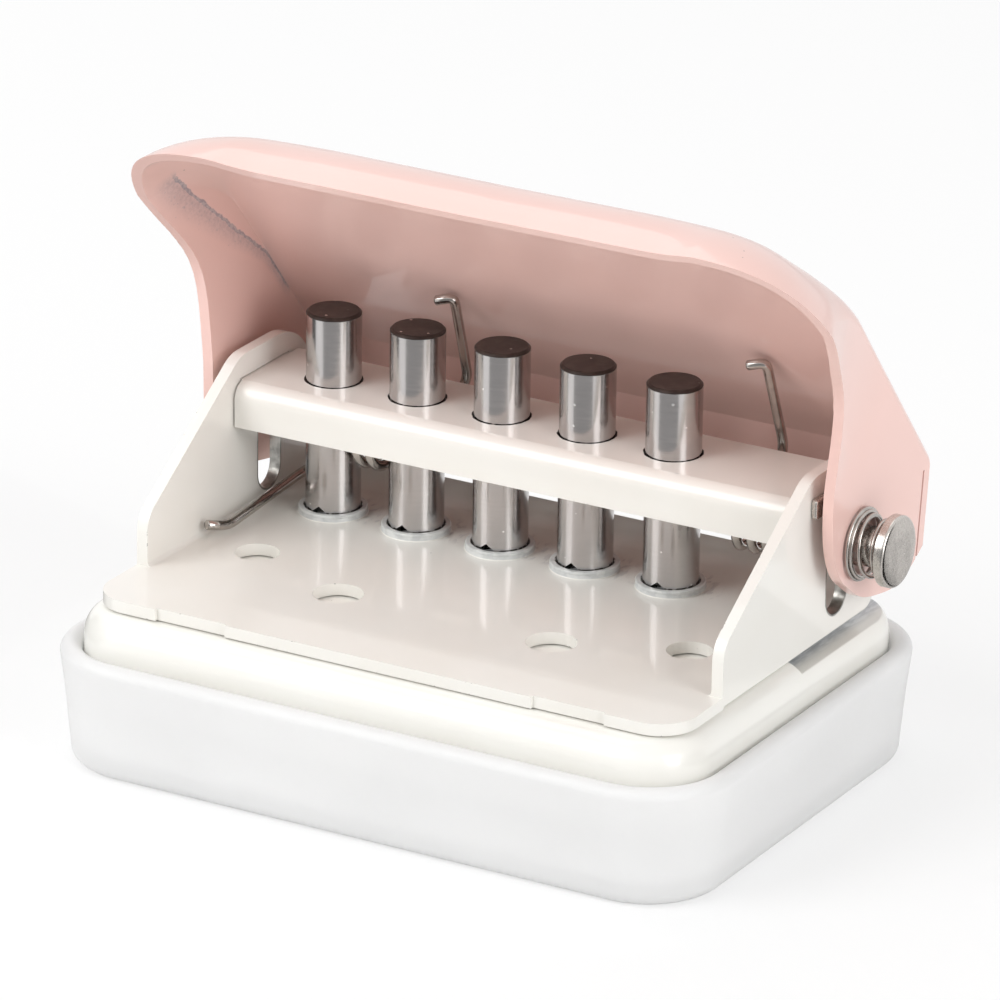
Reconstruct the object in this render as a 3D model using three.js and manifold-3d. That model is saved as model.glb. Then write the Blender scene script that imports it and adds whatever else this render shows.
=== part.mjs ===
// Five-hole binding punch: a folded steel frame on a cast base, five punch pins on a cross rod,
// a sprung lever cover and a clear chip tray. Millimetres, +Z up, +X to the right, -Y to the front.
// The origin is the centre of the face that the tray rests on.

import * as THREE from "three";
import { mergeVertices } from "three/addons/utils/BufferGeometryUtils.js";
import Module from "manifold-3d";

const wasm = await Module();
wasm.setup();

// Driving dimensions: base and tray
const traySideGap = 4.0;
const trayDepth = 52.4;
const trayCorner = 9.0;
const trayRim = 12.3;
const trayRimRound = 1.3;
const trayWall = 2.2;
const trayFloor = 1.5;
const trayDraft = 1.0;
const trayBottomRound = 1.6;
const trayFit = 0.15;
const trayLedge = 1.0;
const baseHeight = 8.6;
const baseTop = 16.05;
const baseEdgeRound = 2.8;
const baseWall = 1.6;
const baseRoof = 3.9;

// Driving dimensions: punch pins and the row they stand in
const pinCount = 5;
const pinPitch = 9.5;
const pinRadius = 2.75;
const pinChamfer = 0.3;
const pinRowOffset = -4.4;
const pinRowBack = 10.05;
const pinTopRise = 22.15;
const pinTipRise = 0.45;
const pinNotchDepth = 2.1;
const pinFit = 0.08;

// Driving dimensions: frame
const sheet = 1.2;
const frameMargin = 13.3;
const bendRadius = 0.8;
const plateFront = 31.2;
const plateCorner = 4.0;
const notchOffset = 20.7;
const notchWidth = 7.8;
const notchDepth = 0.35;
const collarHeight = 0.75;
const collarWall = 0.68;
const holeOuterRadius = 2.25;
const holeOuterOffset = 24.0;
const holeOuterFront = 13.4;
const holeInnerRadius = 2.5;
const holeInnerOffset = 11.8;
const holeInnerFront = 18.45;
const apronOverlap = 0.25;
const earFront = 22.2;
const earRear = 8.7;
const earFrontHeight = 6.2;
const earTopFront = 5.0;
const earTopHeight = 17.55;
const earFrontRound = 3.0;
const earPeakRound = 4.5;
const earRearTopRound = 6.5;
const earRearFootRound = 3.0;
const slotWidth = 4.2;
const slotSetback = 0.5;
const slotFoot = 1.95;
const slotHead = 12.15;
const lipStart = 6.6;
const lipRadius = 2.4;
const lipAngle = THREE.MathUtils.degToRad(62);
const lipStraight = 0.9;
const lipSideGap = 0.6;

// Driving dimensions: guide bar
const barFront = 6.4;
const barRear = 5.6;
const barTop = 15.12;
const barDrop = 4.5;
const barBend = 1.7;
const barHoleFit = 0.12;
const tenonFront = 4.9;
const tenonRear = 4.1;
const tenonFit = 0.1;
const stakeLength = 0.7;
const stakeOverlap = 0.4;

// Driving dimensions: paper gap and die
const paperGap = 1.1;
const paperStop = 8.0;
const dieThickness = 1.2;
const dieMargin = 10.0;
const dieFront = 6.6;
const dieRear = 6.6;
const dieFit = 0.1;
const dieHoleFit = 0.1;
const chuteFront = 4.2;
const chuteRear = 4.2;
const chuteMargin = 4.6;

// Driving dimensions: cross rod, lock button and retaining ring
const rodRise = 9.85;
const rodRadius = 1.5;
const rodFit = 0.08;
const lockTravel = 1.6;
const neckRadius = 2.0;
const neckFit = 0.1;
const neckClear = 0.1;
const headRadius = 3.55;
const headThickness = 1.3;
const headRound = 0.35;
const headStandoff = 3.0;
const capFit = 0.03;
const capWall = 0.9;
const ringOuter = 3.0;
const ringThickness = 0.8;
const ringGroove = 0.35;
const ringMouth = 2.2;
const ringFit = 0.05;
const ringGap = 0.25;
const rodTail = 0.9;

// Driving dimensions: cover, in its own frame about the rod when it is level
const coverSheet = 1.1;
const coverOpen = THREE.MathUtils.degToRad(50);
const coverEarGap = 2.6;
const coverFlare = 3.2;
const coverFlareStart = 8.0;
const coverFlareEnd = 27.0;
const coverFront = 37.0;
const coverLean = 2.4;
const coverFrontBend = 7.3;
const coverCornerBack = 21.2;
const coverCornerPull = 2.5;
const coverCornerRound = 1.2;
const coverTop = 14.3;
const coverEdgeRound = 1.2;
const coverFrontRound = 6.6;
const coverNoseStart = 17.6;
const coverNoseEnd = 30.5;
const coverRim = 6.5;
const coverRimEnd = 19.5;
const coverRearTop = 5.8;
const coverRearFoot = 12.3;
const coverRearFootRise = 7.3;
const coverSeam = 0.3;
const coverSeamStop = 1.8;

// The ear's lower edge from the rim's end to the rear foot, as shares of the front reach and the top
const coverEarShares = [
  [-0.441, 0.451], [-0.397, 0.364], [-0.362, 0.252], [-0.316, 0.164], [-0.270, 0.077], [-0.241, -0.035],
  [-0.208, -0.143], [-0.157, -0.255], [-0.105, -0.308], [-0.046, -0.318], [0.030, -0.290], [0.130, -0.220],
  [0.219, -0.056], [0.284, 0.112], [0.319, 0.322],
];

// Driving dimensions: springs
const coneWire = 0.45;
const coneLargeRadius = 3.55;
const coneSmallRadius = 2.65;
const coneTurns = 3;
const coneSeatGap = 0.05;
const coilWire = 1.0;
const coilRadius = 2.6;
const coilPitch = 1.6;
const coilTightPitch = 1.46;
const rightCoilWholeTurns = 4;
const leftCoilWholeTurns = 1;
const rightCoilInset = 8.7;
const legKneeBack = 8.2;
const legKneeRise = 14.1;
const legTopReach = 8.8;
const legTopGap = 0.3;
const leftKneeGap = 1.1;
const leftTopGap = 1.8;
const legHook = 1.7;
const legHookDrop = 0.7;
const lowerLegGap = 2.0;
const lowerLegFront = 10.6;
const lowerLegBack = 4.3;
const lowerLegDip = 0.9;
const lowerLegRise = 1.05;
const lowerHookForward = 2.2;
const lowerHookRise = 0.6;
const lowerHookSide = 1.0;

// Shares that keep rounded shapes whole
const roundShare = 0.999;
const bendShare = 0.45;
const nearbyShare = 5;
const steepShare = 0.9;

// Facets
const roundSides = 32;
const arcSteps = 8;
const cornerSteps = 6;
const curlSteps = 8;
const wireSides = 5;
const bendSteps = 4;

// One overrun serves all cuts
const overrun = 1.0;

// Levels and places that follow from the driving dimensions
const baseFoot = baseTop - baseHeight;
const baseInset = trayWall + trayFit;
const rowLength = (pinCount - 1) * pinPitch;
const frameWidth = rowLength + 2 * frameMargin;
const trayWidth = frameWidth + 2 * traySideGap;
const dieWidth = rowLength + 2 * dieMargin;
const baseWidth = trayWidth - 2 * baseInset;
const baseDepth = trayDepth - 2 * baseInset;
const baseCorner = trayCorner - baseInset;
const plateBottom = baseTop;
const plateTop = plateBottom + sheet;
const collarTop = plateTop + collarHeight;
const pinTop = plateBottom + pinTopRise;
const pinTip = plateBottom + pinTipRise;
const rodZ = plateBottom + rodRise;
const rowY = pinRowBack;
const halfFrame = frameWidth / 2;
const earInner = halfFrame - sheet;
const lowerLegSide = earInner - lowerLegGap;
const halfCoverEar = halfFrame + coverEarGap;
const coverFrontFlat = halfCoverEar - coverFrontBend;
const coverEarInner = halfCoverEar - coverSheet;
const headInner = halfCoverEar + headStandoff;
const headFace = headInner + headThickness;
const neckEnd = halfFrame + lockTravel + neckClear;
const pinPlaces = Array.from({ length: pinCount }, (_, i) => pinRowOffset - rowLength / 2 + i * pinPitch);
const rightCoilStart = earInner - rightCoilInset;
const leftLegKnee = pinPlaces[1] + leftKneeGap;
const leftLegTop = pinPlaces[1] + leftTopGap;

// Colours and finishes seen on the object
const finishes = {
  ivoryEnamel: { color: 0xefebe0, roughness: 0.3, metalness: 0.0 },
  ivoryCasting: { color: 0xf3f0e4, roughness: 0.32, metalness: 0.0 },
  pinkEnamel: { color: 0xf6cdc4, roughness: 0.25, metalness: 0.0 },
  groundSteel: { color: 0x85817e, roughness: 0.35, metalness: 1.0 },
  dieSteel: { color: 0x6f7276, roughness: 0.45, metalness: 1.0 },
  nickel: { color: 0xb9afa6, roughness: 0.22, metalness: 1.0 },
  springSteel: { color: 0x9b928b, roughness: 0.25, metalness: 1.0 },
  frostedPlastic: { color: 0xe6e8e8, roughness: 0.6, metalness: 0.0, transparent: true, opacity: 0.6 },
};

// Solid helpers

/** A closed solid from a geometry. */
function solid(geometry) {
  const bare = geometry.clone();
  bare.deleteAttribute("normal");
  bare.deleteAttribute("uv");
  const merged = mergeVertices(bare, 1e-4);
  const mesh = new wasm.Mesh({
    numProp: 3,
    vertProperties: new Float32Array(merged.attributes.position.array),
    triVerts: new Uint32Array(merged.index.array),
  });
  return new wasm.Manifold(mesh);
}

/** The geometry of a solid, with flat shading. */
function geometryOf(body) {
  const mesh = body.getMesh();
  const geometry = new THREE.BufferGeometry();
  geometry.setAttribute("position", new THREE.BufferAttribute(new Float32Array(mesh.vertProperties), 3));
  geometry.setIndex(new THREE.BufferAttribute(new Uint32Array(mesh.triVerts), 1));
  const flat = geometry.toNonIndexed();
  flat.computeVertexNormals();
  return flat;
}

/** One solid joined from several. */
function join(...bodies) {
  return bodies.reduce((whole, body) => whole.add(body));
}

/** A solid with others cut from it. */
function cut(body, ...tools) {
  return tools.reduce((whole, tool) => whole.subtract(tool), body);
}

/** A box between two corners. */
function block(low, high) {
  const size = high.map((value, i) => value - low[i]);
  const geometry = new THREE.BoxGeometry(...size);
  geometry.translate(...low.map((value, i) => value + size[i] / 2));
  return solid(geometry);
}

/** An upright round bar at x, y from one level to another. */
function post(x, y, fromZ, toZ, radius, sides = roundSides) {
  const geometry = new THREE.CylinderGeometry(radius, radius, toZ - fromZ, sides);
  geometry.rotateX(Math.PI / 2);
  geometry.translate(x, y, (fromZ + toZ) / 2);
  return solid(geometry);
}

/** A round bar along X at y, z. */
function crossBar(fromX, toX, y, z, radius, sides = roundSides) {
  const geometry = new THREE.CylinderGeometry(radius, radius, toX - fromX, sides);
  geometry.rotateZ(Math.PI / 2);
  geometry.translate((fromX + toX) / 2, y, z);
  return solid(geometry);
}

/** A flat outline pushed up along Z. */
function slab(shape, fromZ, toZ) {
  const geometry = new THREE.ExtrudeGeometry(shape, {
    depth: toZ - fromZ,
    bevelEnabled: false,
    curveSegments: arcSteps,
  });
  geometry.translate(0, 0, fromZ);
  return solid(geometry);
}

/** An outline of y and z pushed along X. */
function sidePrism(shape, fromX, toX) {
  const geometry = new THREE.ExtrudeGeometry(shape, {
    depth: toX - fromX,
    bevelEnabled: false,
    curveSegments: arcSteps,
  });
  const basis = new THREE.Matrix4().makeBasis(
    new THREE.Vector3(0, 1, 0),
    new THREE.Vector3(0, 0, 1),
    new THREE.Vector3(1, 0, 0),
  );
  geometry.applyMatrix4(basis);
  geometry.translate(fromX, 0, 0);
  return solid(geometry);
}

/** An outline of x and z pushed along Y. */
function frontPrism(shape, fromY, toY) {
  const geometry = new THREE.ExtrudeGeometry(shape, {
    depth: toY - fromY,
    bevelEnabled: false,
    curveSegments: arcSteps,
  });
  const basis = new THREE.Matrix4().makeBasis(
    new THREE.Vector3(1, 0, 0),
    new THREE.Vector3(0, 0, 1),
    new THREE.Vector3(0, -1, 0),
  );
  geometry.applyMatrix4(basis);
  geometry.translate(0, toY, 0);
  return solid(geometry);
}

/** An outline with rounded corners, from corner points that each carry a rounding. */
function roundedOutline(corners) {
  const shape = new THREE.Shape();
  const count = corners.length;
  corners.forEach(([x, y, round], i) => {
    const here = new THREE.Vector2(x, y);
    const before = new THREE.Vector2(...corners[(i + count - 1) % count].slice(0, 2));
    const after = new THREE.Vector2(...corners[(i + 1) % count].slice(0, 2));
    const inward = before.clone().sub(here).normalize();
    const outward = after.clone().sub(here).normalize();
    const turn = Math.acos(THREE.MathUtils.clamp(inward.dot(outward), -1, 1));
    const reach = round ? round / Math.tan(turn / 2) : 0;
    const start = here.clone().addScaledVector(inward, reach);
    const end = here.clone().addScaledVector(outward, reach);
    if (i === 0) {
      shape.moveTo(start.x, start.y);
    } else {
      shape.lineTo(start.x, start.y);
    }
    if (round) {
      const centre = inward.clone().add(outward).normalize();
      centre.multiplyScalar(round / Math.sin(turn / 2)).add(here);
      const from = Math.atan2(start.y - centre.y, start.x - centre.x);
      const to = Math.atan2(end.y - centre.y, end.x - centre.x);
      const clockwise = inward.cross(outward) > 0;
      shape.absarc(centre.x, centre.y, round, from, to, clockwise);
    }
  });
  shape.closePath();
  return shape;
}

/** A rectangle about the origin with four rounded corners. */
function roundedRectangle(width, depth, corner) {
  const x = width / 2;
  const y = depth / 2;
  return roundedOutline([[-x, -y, corner], [x, -y, corner], [x, y, corner], [-x, y, corner]]);
}

/** A named piece with its finish. */
function piece(name, geometry, finish) {
  const mesh = new THREE.Mesh(geometry, new THREE.MeshStandardMaterial(finishes[finish]));
  mesh.name = name;
  return mesh;
}

// Base: a cast shell with a rounded top edge, a lower rear part that leaves the paper gap and a die seat.
// Its straight sides stand inside the tray.

function makeBase() {
  const crown = new THREE.ExtrudeGeometry(roundedRectangle(baseWidth, baseDepth, baseCorner), {
    depth: baseHeight - baseEdgeRound,
    bevelEnabled: true,
    bevelThickness: baseEdgeRound,
    bevelSize: baseEdgeRound,
    bevelOffset: -baseEdgeRound,
    bevelSegments: cornerSteps,
    curveSegments: cornerSteps,
  });
  crown.translate(0, 0, baseFoot);
  const below = block([-baseWidth, -baseDepth, baseFoot - baseHeight], [baseWidth, baseDepth, baseFoot]);
  const hollowShape = roundedRectangle(baseWidth - 2 * baseWall, baseDepth - 2 * baseWall, baseCorner - baseWall);
  const hollow = slab(hollowShape, baseFoot - overrun, baseTop - baseRoof);
  const recess = block(
    [-baseWidth, rowY - paperStop, baseTop - paperGap],
    [baseWidth, baseDepth, baseTop + overrun],
  );
  const seat = block(
    [pinRowOffset - dieWidth / 2 - dieFit, rowY - dieFront - dieFit, baseTop - paperGap - dieThickness],
    [pinRowOffset + dieWidth / 2 + dieFit, rowY + dieRear + dieFit, baseTop],
  );
  const chute = block(
    [pinPlaces[0] - chuteMargin, rowY - chuteFront, baseTop - baseRoof - overrun],
    [pinPlaces[pinCount - 1] + chuteMargin, rowY + chuteRear, baseTop],
  );
  return piece("base_shell", geometryOf(cut(solid(crown), below, hollow, recess, seat, chute)), "ivoryCasting");
}

/** The hardened plate under the paper gap, with one hole for each pin. */
function makeDie() {
  const top = baseTop - paperGap;
  const plate = block(
    [pinRowOffset - dieWidth / 2, rowY - dieFront, top - dieThickness],
    [pinRowOffset + dieWidth / 2, rowY + dieRear, top],
  );
  const holes = pinPlaces.map((x) =>
    post(x, rowY, top - dieThickness - overrun, top + overrun, pinRadius + dieHoleFit),
  );
  return piece("die_plate", geometryOf(cut(plate, ...holes)), "dieSteel");
}

/** The frosted tray that catches the chips: drafted walls, round edges and a ledge under the base. */
function makeTray() {
  const mass = new THREE.ExtrudeGeometry(roundedRectangle(trayWidth, trayDepth, trayCorner), {
    depth: trayRim - trayBottomRound - trayRimRound,
    bevelEnabled: true,
    bevelThickness: trayBottomRound,
    bevelSize: trayBottomRound,
    bevelOffset: -trayBottomRound,
    bevelSegments: bendSteps,
    curveSegments: cornerSteps,
  });
  mass.translate(0, 0, trayBottomRound);
  const place = mass.attributes.position;
  const shoulder = trayRim - trayRimRound;
  for (let i = 0; i < place.count; i += 1) {
    const z = place.getZ(i);
    const lower = THREE.MathUtils.clamp((shoulder - z) / shoulder, 0, 1);
    place.setX(i, place.getX(i) * (1 - (2 * trayDraft * lower) / trayWidth));
    place.setY(i, place.getY(i) * (1 - (2 * trayDraft * lower) / trayDepth));
    if (z > shoulder) {
      place.setZ(i, shoulder + ((z - shoulder) * trayRimRound) / trayBottomRound);
    }
  }
  const inner = baseInset - trayFit;
  const mouthShape = roundedRectangle(trayWidth - 2 * inner, trayDepth - 2 * inner, trayCorner - inner);
  const mouth = slab(mouthShape, baseFoot, trayRim + overrun);
  const narrow = inner + trayLedge;
  const chipShape = roundedRectangle(trayWidth - 2 * narrow, trayDepth - 2 * narrow, trayCorner - narrow);
  const chips = slab(chipShape, trayFloor, trayRim);
  return piece("chip_tray", geometryOf(cut(solid(mass), mouth, chips)), "frostedPlastic");
}

// Frame: one folded sheet, with a plate, two ears, drawn guide collars, a flared rear lip and notches.

/** The apron in front of the ears, seen from above, with a tongue back between the two bends. */
function apronShape() {
  const front = rowY - plateFront;
  const rear = rowY - earFront + apronOverlap;
  const tongue = halfFrame - sheet - bendRadius;
  return roundedOutline([
    [-halfFrame, front, plateCorner],
    [halfFrame, front, plateCorner],
    [halfFrame, rear, 0],
    [tongue, rear, 0],
    [tongue, rear + sheet, 0],
    [-tongue, rear + sheet, 0],
    [-tongue, rear, 0],
    [-halfFrame, rear, 0],
  ]);
}

/** The ear's side outline, in y and z. */
function earShape() {
  return roundedOutline([
    [rowY - earFront, plateBottom, 0],
    [rowY + earRear, plateBottom, earRearFootRound],
    [rowY + earRear, plateBottom + earTopHeight, earRearTopRound],
    [rowY - earTopFront, plateBottom + earTopHeight, earPeakRound],
    [rowY - earFront, plateBottom + earFrontHeight, earFrontRound],
  ]);
}

/** A side slot's outline, in y and z: straight sides and round ends. */
function slotShape() {
  const y = rowY + slotSetback;
  const radius = slotWidth / 2;
  return roundedOutline([
    [y - radius, plateBottom + slotFoot, radius * roundShare],
    [y + radius, plateBottom + slotFoot, radius * roundShare],
    [y + radius, plateBottom + slotHead, radius * roundShare],
    [y - radius, plateBottom + slotHead, radius * roundShare],
  ]);
}

/** The U-shaped section of the folded part, in x and z. */
function foldedSection() {
  const outer = bendRadius + sheet;
  const high = plateBottom + earTopHeight + overrun;
  return roundedOutline([
    [-halfFrame, plateBottom, outer],
    [halfFrame, plateBottom, outer],
    [halfFrame, high, 0],
    [earInner, high, 0],
    [earInner, plateTop, bendRadius],
    [-earInner, plateTop, bendRadius],
    [-earInner, high, 0],
    [-halfFrame, high, 0],
  ]);
}

/** The rear lip's section, in y and z: the plate curls up to lead the paper in. */
function lipShape() {
  const start = rowY + lipStart;
  const centreZ = plateTop + lipRadius;
  const outer = lipRadius + sheet;
  const along = new THREE.Vector2(Math.cos(lipAngle), Math.sin(lipAngle));
  const across = new THREE.Vector2(-along.y, along.x);
  const outerEnd = new THREE.Vector2(start, centreZ).addScaledVector(across, -outer);
  const innerEnd = new THREE.Vector2(start, centreZ).addScaledVector(across, -lipRadius);
  const shape = new THREE.Shape();
  shape.moveTo(start - sheet, plateBottom);
  shape.lineTo(start, plateBottom);
  shape.absarc(start, centreZ, outer, -Math.PI / 2, -Math.PI / 2 + lipAngle, false);
  shape.lineTo(outerEnd.x + along.x * lipStraight, outerEnd.y + along.y * lipStraight);
  shape.lineTo(innerEnd.x + along.x * lipStraight, innerEnd.y + along.y * lipStraight);
  shape.lineTo(innerEnd.x, innerEnd.y);
  shape.absarc(start, centreZ, lipRadius, -Math.PI / 2 + lipAngle, -Math.PI / 2, true);
  shape.lineTo(start - sheet, plateTop);
  shape.closePath();
  return shape;
}

function makeFrame() {
  const folded = frontPrism(foldedSection(), rowY - earFront, rowY + earRear);
  const trimmed = folded.intersect(sidePrism(earShape(), -halfFrame - overrun, halfFrame + overrun));
  const rearFloor = block(
    [-earInner + bendRadius, rowY + lipStart, plateBottom - overrun],
    [earInner - bendRadius, rowY + earRear + overrun, plateTop + overrun],
  );
  const apron = slab(apronShape(), plateBottom, plateTop);
  const lipReach = earInner - lipSideGap;
  const lip = sidePrism(lipShape(), -lipReach, lipReach);
  const collars = pinPlaces.map((x) =>
    post(x, rowY, plateTop - sheet / 2, collarTop, pinRadius + pinFit + collarWall),
  );
  const guideHoles = pinPlaces.map((x) =>
    post(x, rowY, plateBottom - overrun, collarTop + overrun, pinRadius + pinFit),
  );
  const plainHoles = [-1, 1].flatMap((side) => [
    post(side * holeOuterOffset, rowY - holeOuterFront, plateBottom - overrun, plateTop + overrun, holeOuterRadius),
    post(side * holeInnerOffset, rowY - holeInnerFront, plateBottom - overrun, plateTop + overrun, holeInnerRadius),
  ]);
  const notches = [-1, 1].map((side) =>
    block(
      [side * notchOffset - notchWidth / 2, rowY - plateFront - overrun, plateBottom - overrun],
      [side * notchOffset + notchWidth / 2, rowY - plateFront + notchDepth, plateTop + overrun],
    ),
  );
  const slots = sidePrism(slotShape(), -halfFrame - overrun, halfFrame + overrun);
  const tenonSlots = block(
    [-halfFrame - overrun, rowY - tenonFront - tenonFit, plateBottom + barTop - sheet - tenonFit],
    [halfFrame + overrun, rowY + tenonRear + tenonFit, plateBottom + barTop + tenonFit],
  );
  const whole = join(cut(trimmed, rearFloor), apron, lip, ...collars);
  const body = cut(whole, ...guideHoles, ...plainHoles, ...notches, slots, tenonSlots);
  return piece("frame", geometryOf(body), "ivoryEnamel");
}

// Guide bar: a folded angle between the ears, held by staked tenons, with one hole for each pin.

/** The bar's section, in y and z. */
function barShape() {
  const top = plateBottom + barTop;
  const front = rowY - barFront;
  const foot = top - barDrop;
  return roundedOutline([
    [front, foot, 0],
    [front + sheet, foot, 0],
    [front + sheet, top - sheet, barBend - sheet],
    [rowY + barRear, top - sheet, 0],
    [rowY + barRear, top, 0],
    [front, top, barBend],
  ]);
}

function makeGuideBar() {
  const top = plateBottom + barTop;
  const bar = sidePrism(barShape(), -earInner, earInner);
  const tenons = block(
    [-halfFrame - stakeLength / 2, rowY - tenonFront, top - sheet],
    [halfFrame + stakeLength / 2, rowY + tenonRear, top],
  );
  const stakes = [-1, 1].map((side) => {
    const shape = roundedOutline([
      [rowY - tenonFront - stakeOverlap, top - sheet - stakeOverlap, stakeOverlap],
      [rowY + tenonRear + stakeOverlap, top - sheet - stakeOverlap, stakeOverlap],
      [rowY + tenonRear + stakeOverlap, top + stakeOverlap, stakeOverlap],
      [rowY - tenonFront - stakeOverlap, top + stakeOverlap, stakeOverlap],
    ]);
    const inner = side * halfFrame;
    const outer = side * (halfFrame + stakeLength);
    return sidePrism(shape, Math.min(inner, outer), Math.max(inner, outer));
  });
  const holes = pinPlaces.map((x) => post(x, rowY, top - barDrop, top + overrun, pinRadius + barHoleFit));
  return piece("guide_bar", geometryOf(cut(join(bar, tenons, ...stakes), ...holes)), "ivoryEnamel");
}

// Punch pins: ground steel, chamfered top, cross hole for the rod and a notch across the cutting end.

function makePin(index) {
  const x = pinPlaces[index];
  const profile = [
    new THREE.Vector2(0, pinTip),
    new THREE.Vector2(pinRadius, pinTip),
    new THREE.Vector2(pinRadius, pinTop - pinChamfer),
    new THREE.Vector2(pinRadius - pinChamfer, pinTop),
    new THREE.Vector2(0, pinTop),
  ];
  const geometry = new THREE.LatheGeometry(profile, roundSides);
  geometry.rotateX(Math.PI / 2);
  geometry.translate(x, rowY, 0);
  const notch = new THREE.Shape();
  notch.moveTo(x - pinRadius, pinTip);
  notch.lineTo(x - pinRadius, pinTip - overrun);
  notch.lineTo(x + pinRadius, pinTip - overrun);
  notch.lineTo(x + pinRadius, pinTip);
  notch.lineTo(x, pinTip + pinNotchDepth);
  notch.closePath();
  const mouth = frontPrism(notch, rowY - pinRadius - overrun, rowY + pinRadius + overrun);
  const bore = crossBar(x - pinRadius - overrun, x + pinRadius + overrun, rowY, rodZ, rodRadius + rodFit);
  return piece(`punch_pin_${index + 1}`, geometryOf(cut(solid(geometry), mouth, bore)), "groundSteel");
}

// Cross rod and what is on it

/** The rod through the pins, the ears and the cover, with a groove for the retaining ring. */
function makeRod() {
  const ringSeat = -halfCoverEar - ringGap;
  const tail = ringSeat - ringThickness - ringFit * 2 - rodTail;
  const groove = rodRadius - ringGroove;
  const profile = [
    [0, tail],
    [rodRadius - ringGroove, tail],
    [rodRadius, tail + ringGroove],
    [rodRadius, ringSeat - ringThickness - ringFit],
    [groove, ringSeat - ringThickness - ringFit],
    [groove, ringSeat + ringFit],
    [rodRadius, ringSeat + ringFit],
    [rodRadius, headFace - capWall],
    [0, headFace - capWall],
  ].map(([radius, along]) => new THREE.Vector2(radius, along));
  const geometry = new THREE.LatheGeometry(profile, roundSides);
  geometry.rotateZ(-Math.PI / 2);
  geometry.translate(0, rowY, rodZ);
  return piece("cross_rod", geometryOf(solid(geometry)), "nickel");
}

/** The lock button: a flat round head and a neck, pressed on the rod's end. */
function makeLockButton() {
  const profile = [
    [rodRadius + capFit, neckEnd],
    [neckRadius, neckEnd],
    [neckRadius, headInner],
    [headRadius - headRound, headInner],
    [headRadius, headInner + headRound],
    [headRadius, headFace - headRound],
    [headRadius - headRound / 3, headFace - headRound / 3],
    [headRadius - headRound, headFace],
    [0, headFace],
    [0, headFace - capWall + capFit],
    [rodRadius + capFit, headFace - capWall + capFit],
    [rodRadius + capFit, neckEnd],
  ].map(([radius, along]) => new THREE.Vector2(radius, along));
  const geometry = new THREE.LatheGeometry(profile, roundSides);
  geometry.rotateZ(-Math.PI / 2);
  geometry.translate(0, rowY, rodZ);
  return piece("lock_button", geometryOf(solid(geometry)), "nickel");
}

/** The open ring that holds the rod's left end. */
function makeRetainingRing() {
  const from = -halfCoverEar - ringGap - ringThickness;
  const disc = crossBar(from, from + ringThickness, rowY, rodZ, ringOuter);
  const bore = crossBar(from - overrun, from + ringThickness + overrun, rowY, rodZ, rodRadius - ringGroove + ringFit);
  const mouth = block(
    [from - overrun, rowY - ringMouth / 2, rodZ - ringOuter - overrun],
    [from + ringThickness + overrun, rowY + ringMouth / 2, rodZ],
  );
  return piece("retaining_ring", geometryOf(cut(disc, bore, mouth)), "springSteel");
}

// Springs: each is one unbroken round wire

/** A closed tube of a few sides that follows a list of points, with flat ends. */
function wire(points, diameter) {
  const radius = diameter / 2;
  const directions = points.map((point, i) => {
    const before = points[Math.max(i - 1, 0)];
    const after = points[Math.min(i + 1, points.length - 1)];
    return after.clone().sub(before).normalize();
  });
  const start = directions[0];
  const helper = Math.abs(start.x) < steepShare ? new THREE.Vector3(1, 0, 0) : new THREE.Vector3(0, 1, 0);
  let side = helper.clone().cross(start).normalize();
  const places = [];
  points.forEach((point, i) => {
    side = side.clone().addScaledVector(directions[i], -side.dot(directions[i])).normalize();
    const up = directions[i].clone().cross(side);
    for (let k = 0; k < wireSides; k += 1) {
      const angle = (2 * Math.PI * k) / wireSides;
      const spot = point.clone();
      spot.addScaledVector(side, radius * Math.cos(angle));
      spot.addScaledVector(up, radius * Math.sin(angle));
      places.push(spot.x, spot.y, spot.z);
    }
  });
  const first = places.length / 3;
  places.push(...points[0].toArray(), ...points[points.length - 1].toArray());
  const faces = [];
  for (let i = 0; i + 1 < points.length; i += 1) {
    for (let k = 0; k < wireSides; k += 1) {
      const a = i * wireSides + k;
      const b = i * wireSides + ((k + 1) % wireSides);
      faces.push(a, b, a + wireSides, b, b + wireSides, a + wireSides);
    }
  }
  const last = (points.length - 1) * wireSides;
  for (let k = 0; k < wireSides; k += 1) {
    faces.push(first, (k + 1) % wireSides, k);
    faces.push(first + 1, last + k, last + ((k + 1) % wireSides));
  }
  const geometry = new THREE.BufferGeometry();
  geometry.setAttribute("position", new THREE.BufferAttribute(new Float32Array(places), 3));
  geometry.setIndex(faces);
  return geometryOf(solid(geometry));
}

/** Points of a helix about the rod: from an angle, over some turns, while x and the radius change. */
function helix(fromX, toX, fromRadius, toRadius, fromAngle, turns) {
  const steps = Math.round(Math.abs(turns) * curlSteps);
  return Array.from({ length: steps + 1 }, (_, i) => {
    const share = i / steps;
    const angle = fromAngle + 2 * Math.PI * turns * share;
    const radius = THREE.MathUtils.lerp(fromRadius, toRadius, share);
    const x = THREE.MathUtils.lerp(fromX, toX, share);
    return new THREE.Vector3(x, rowY + radius * Math.cos(angle), rodZ + radius * Math.sin(angle));
  });
}

/** A polyline whose inner corners are rounded by short curves. */
function eased(corners, round) {
  const points = [corners[0].clone()];
  for (let i = 1; i + 1 < corners.length; i += 1) {
    const before = corners[i - 1].clone().sub(corners[i]);
    const after = corners[i + 1].clone().sub(corners[i]);
    const reach = Math.min(round, before.length() * bendShare, after.length() * bendShare);
    const start = corners[i].clone().addScaledVector(before.normalize(), reach);
    const end = corners[i].clone().addScaledVector(after.normalize(), reach);
    const curve = new THREE.QuadraticBezierCurve3(start, corners[i], end);
    points.push(...curve.getPoints(bendSteps));
  }
  points.push(corners[corners.length - 1].clone());
  return points;
}

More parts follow.
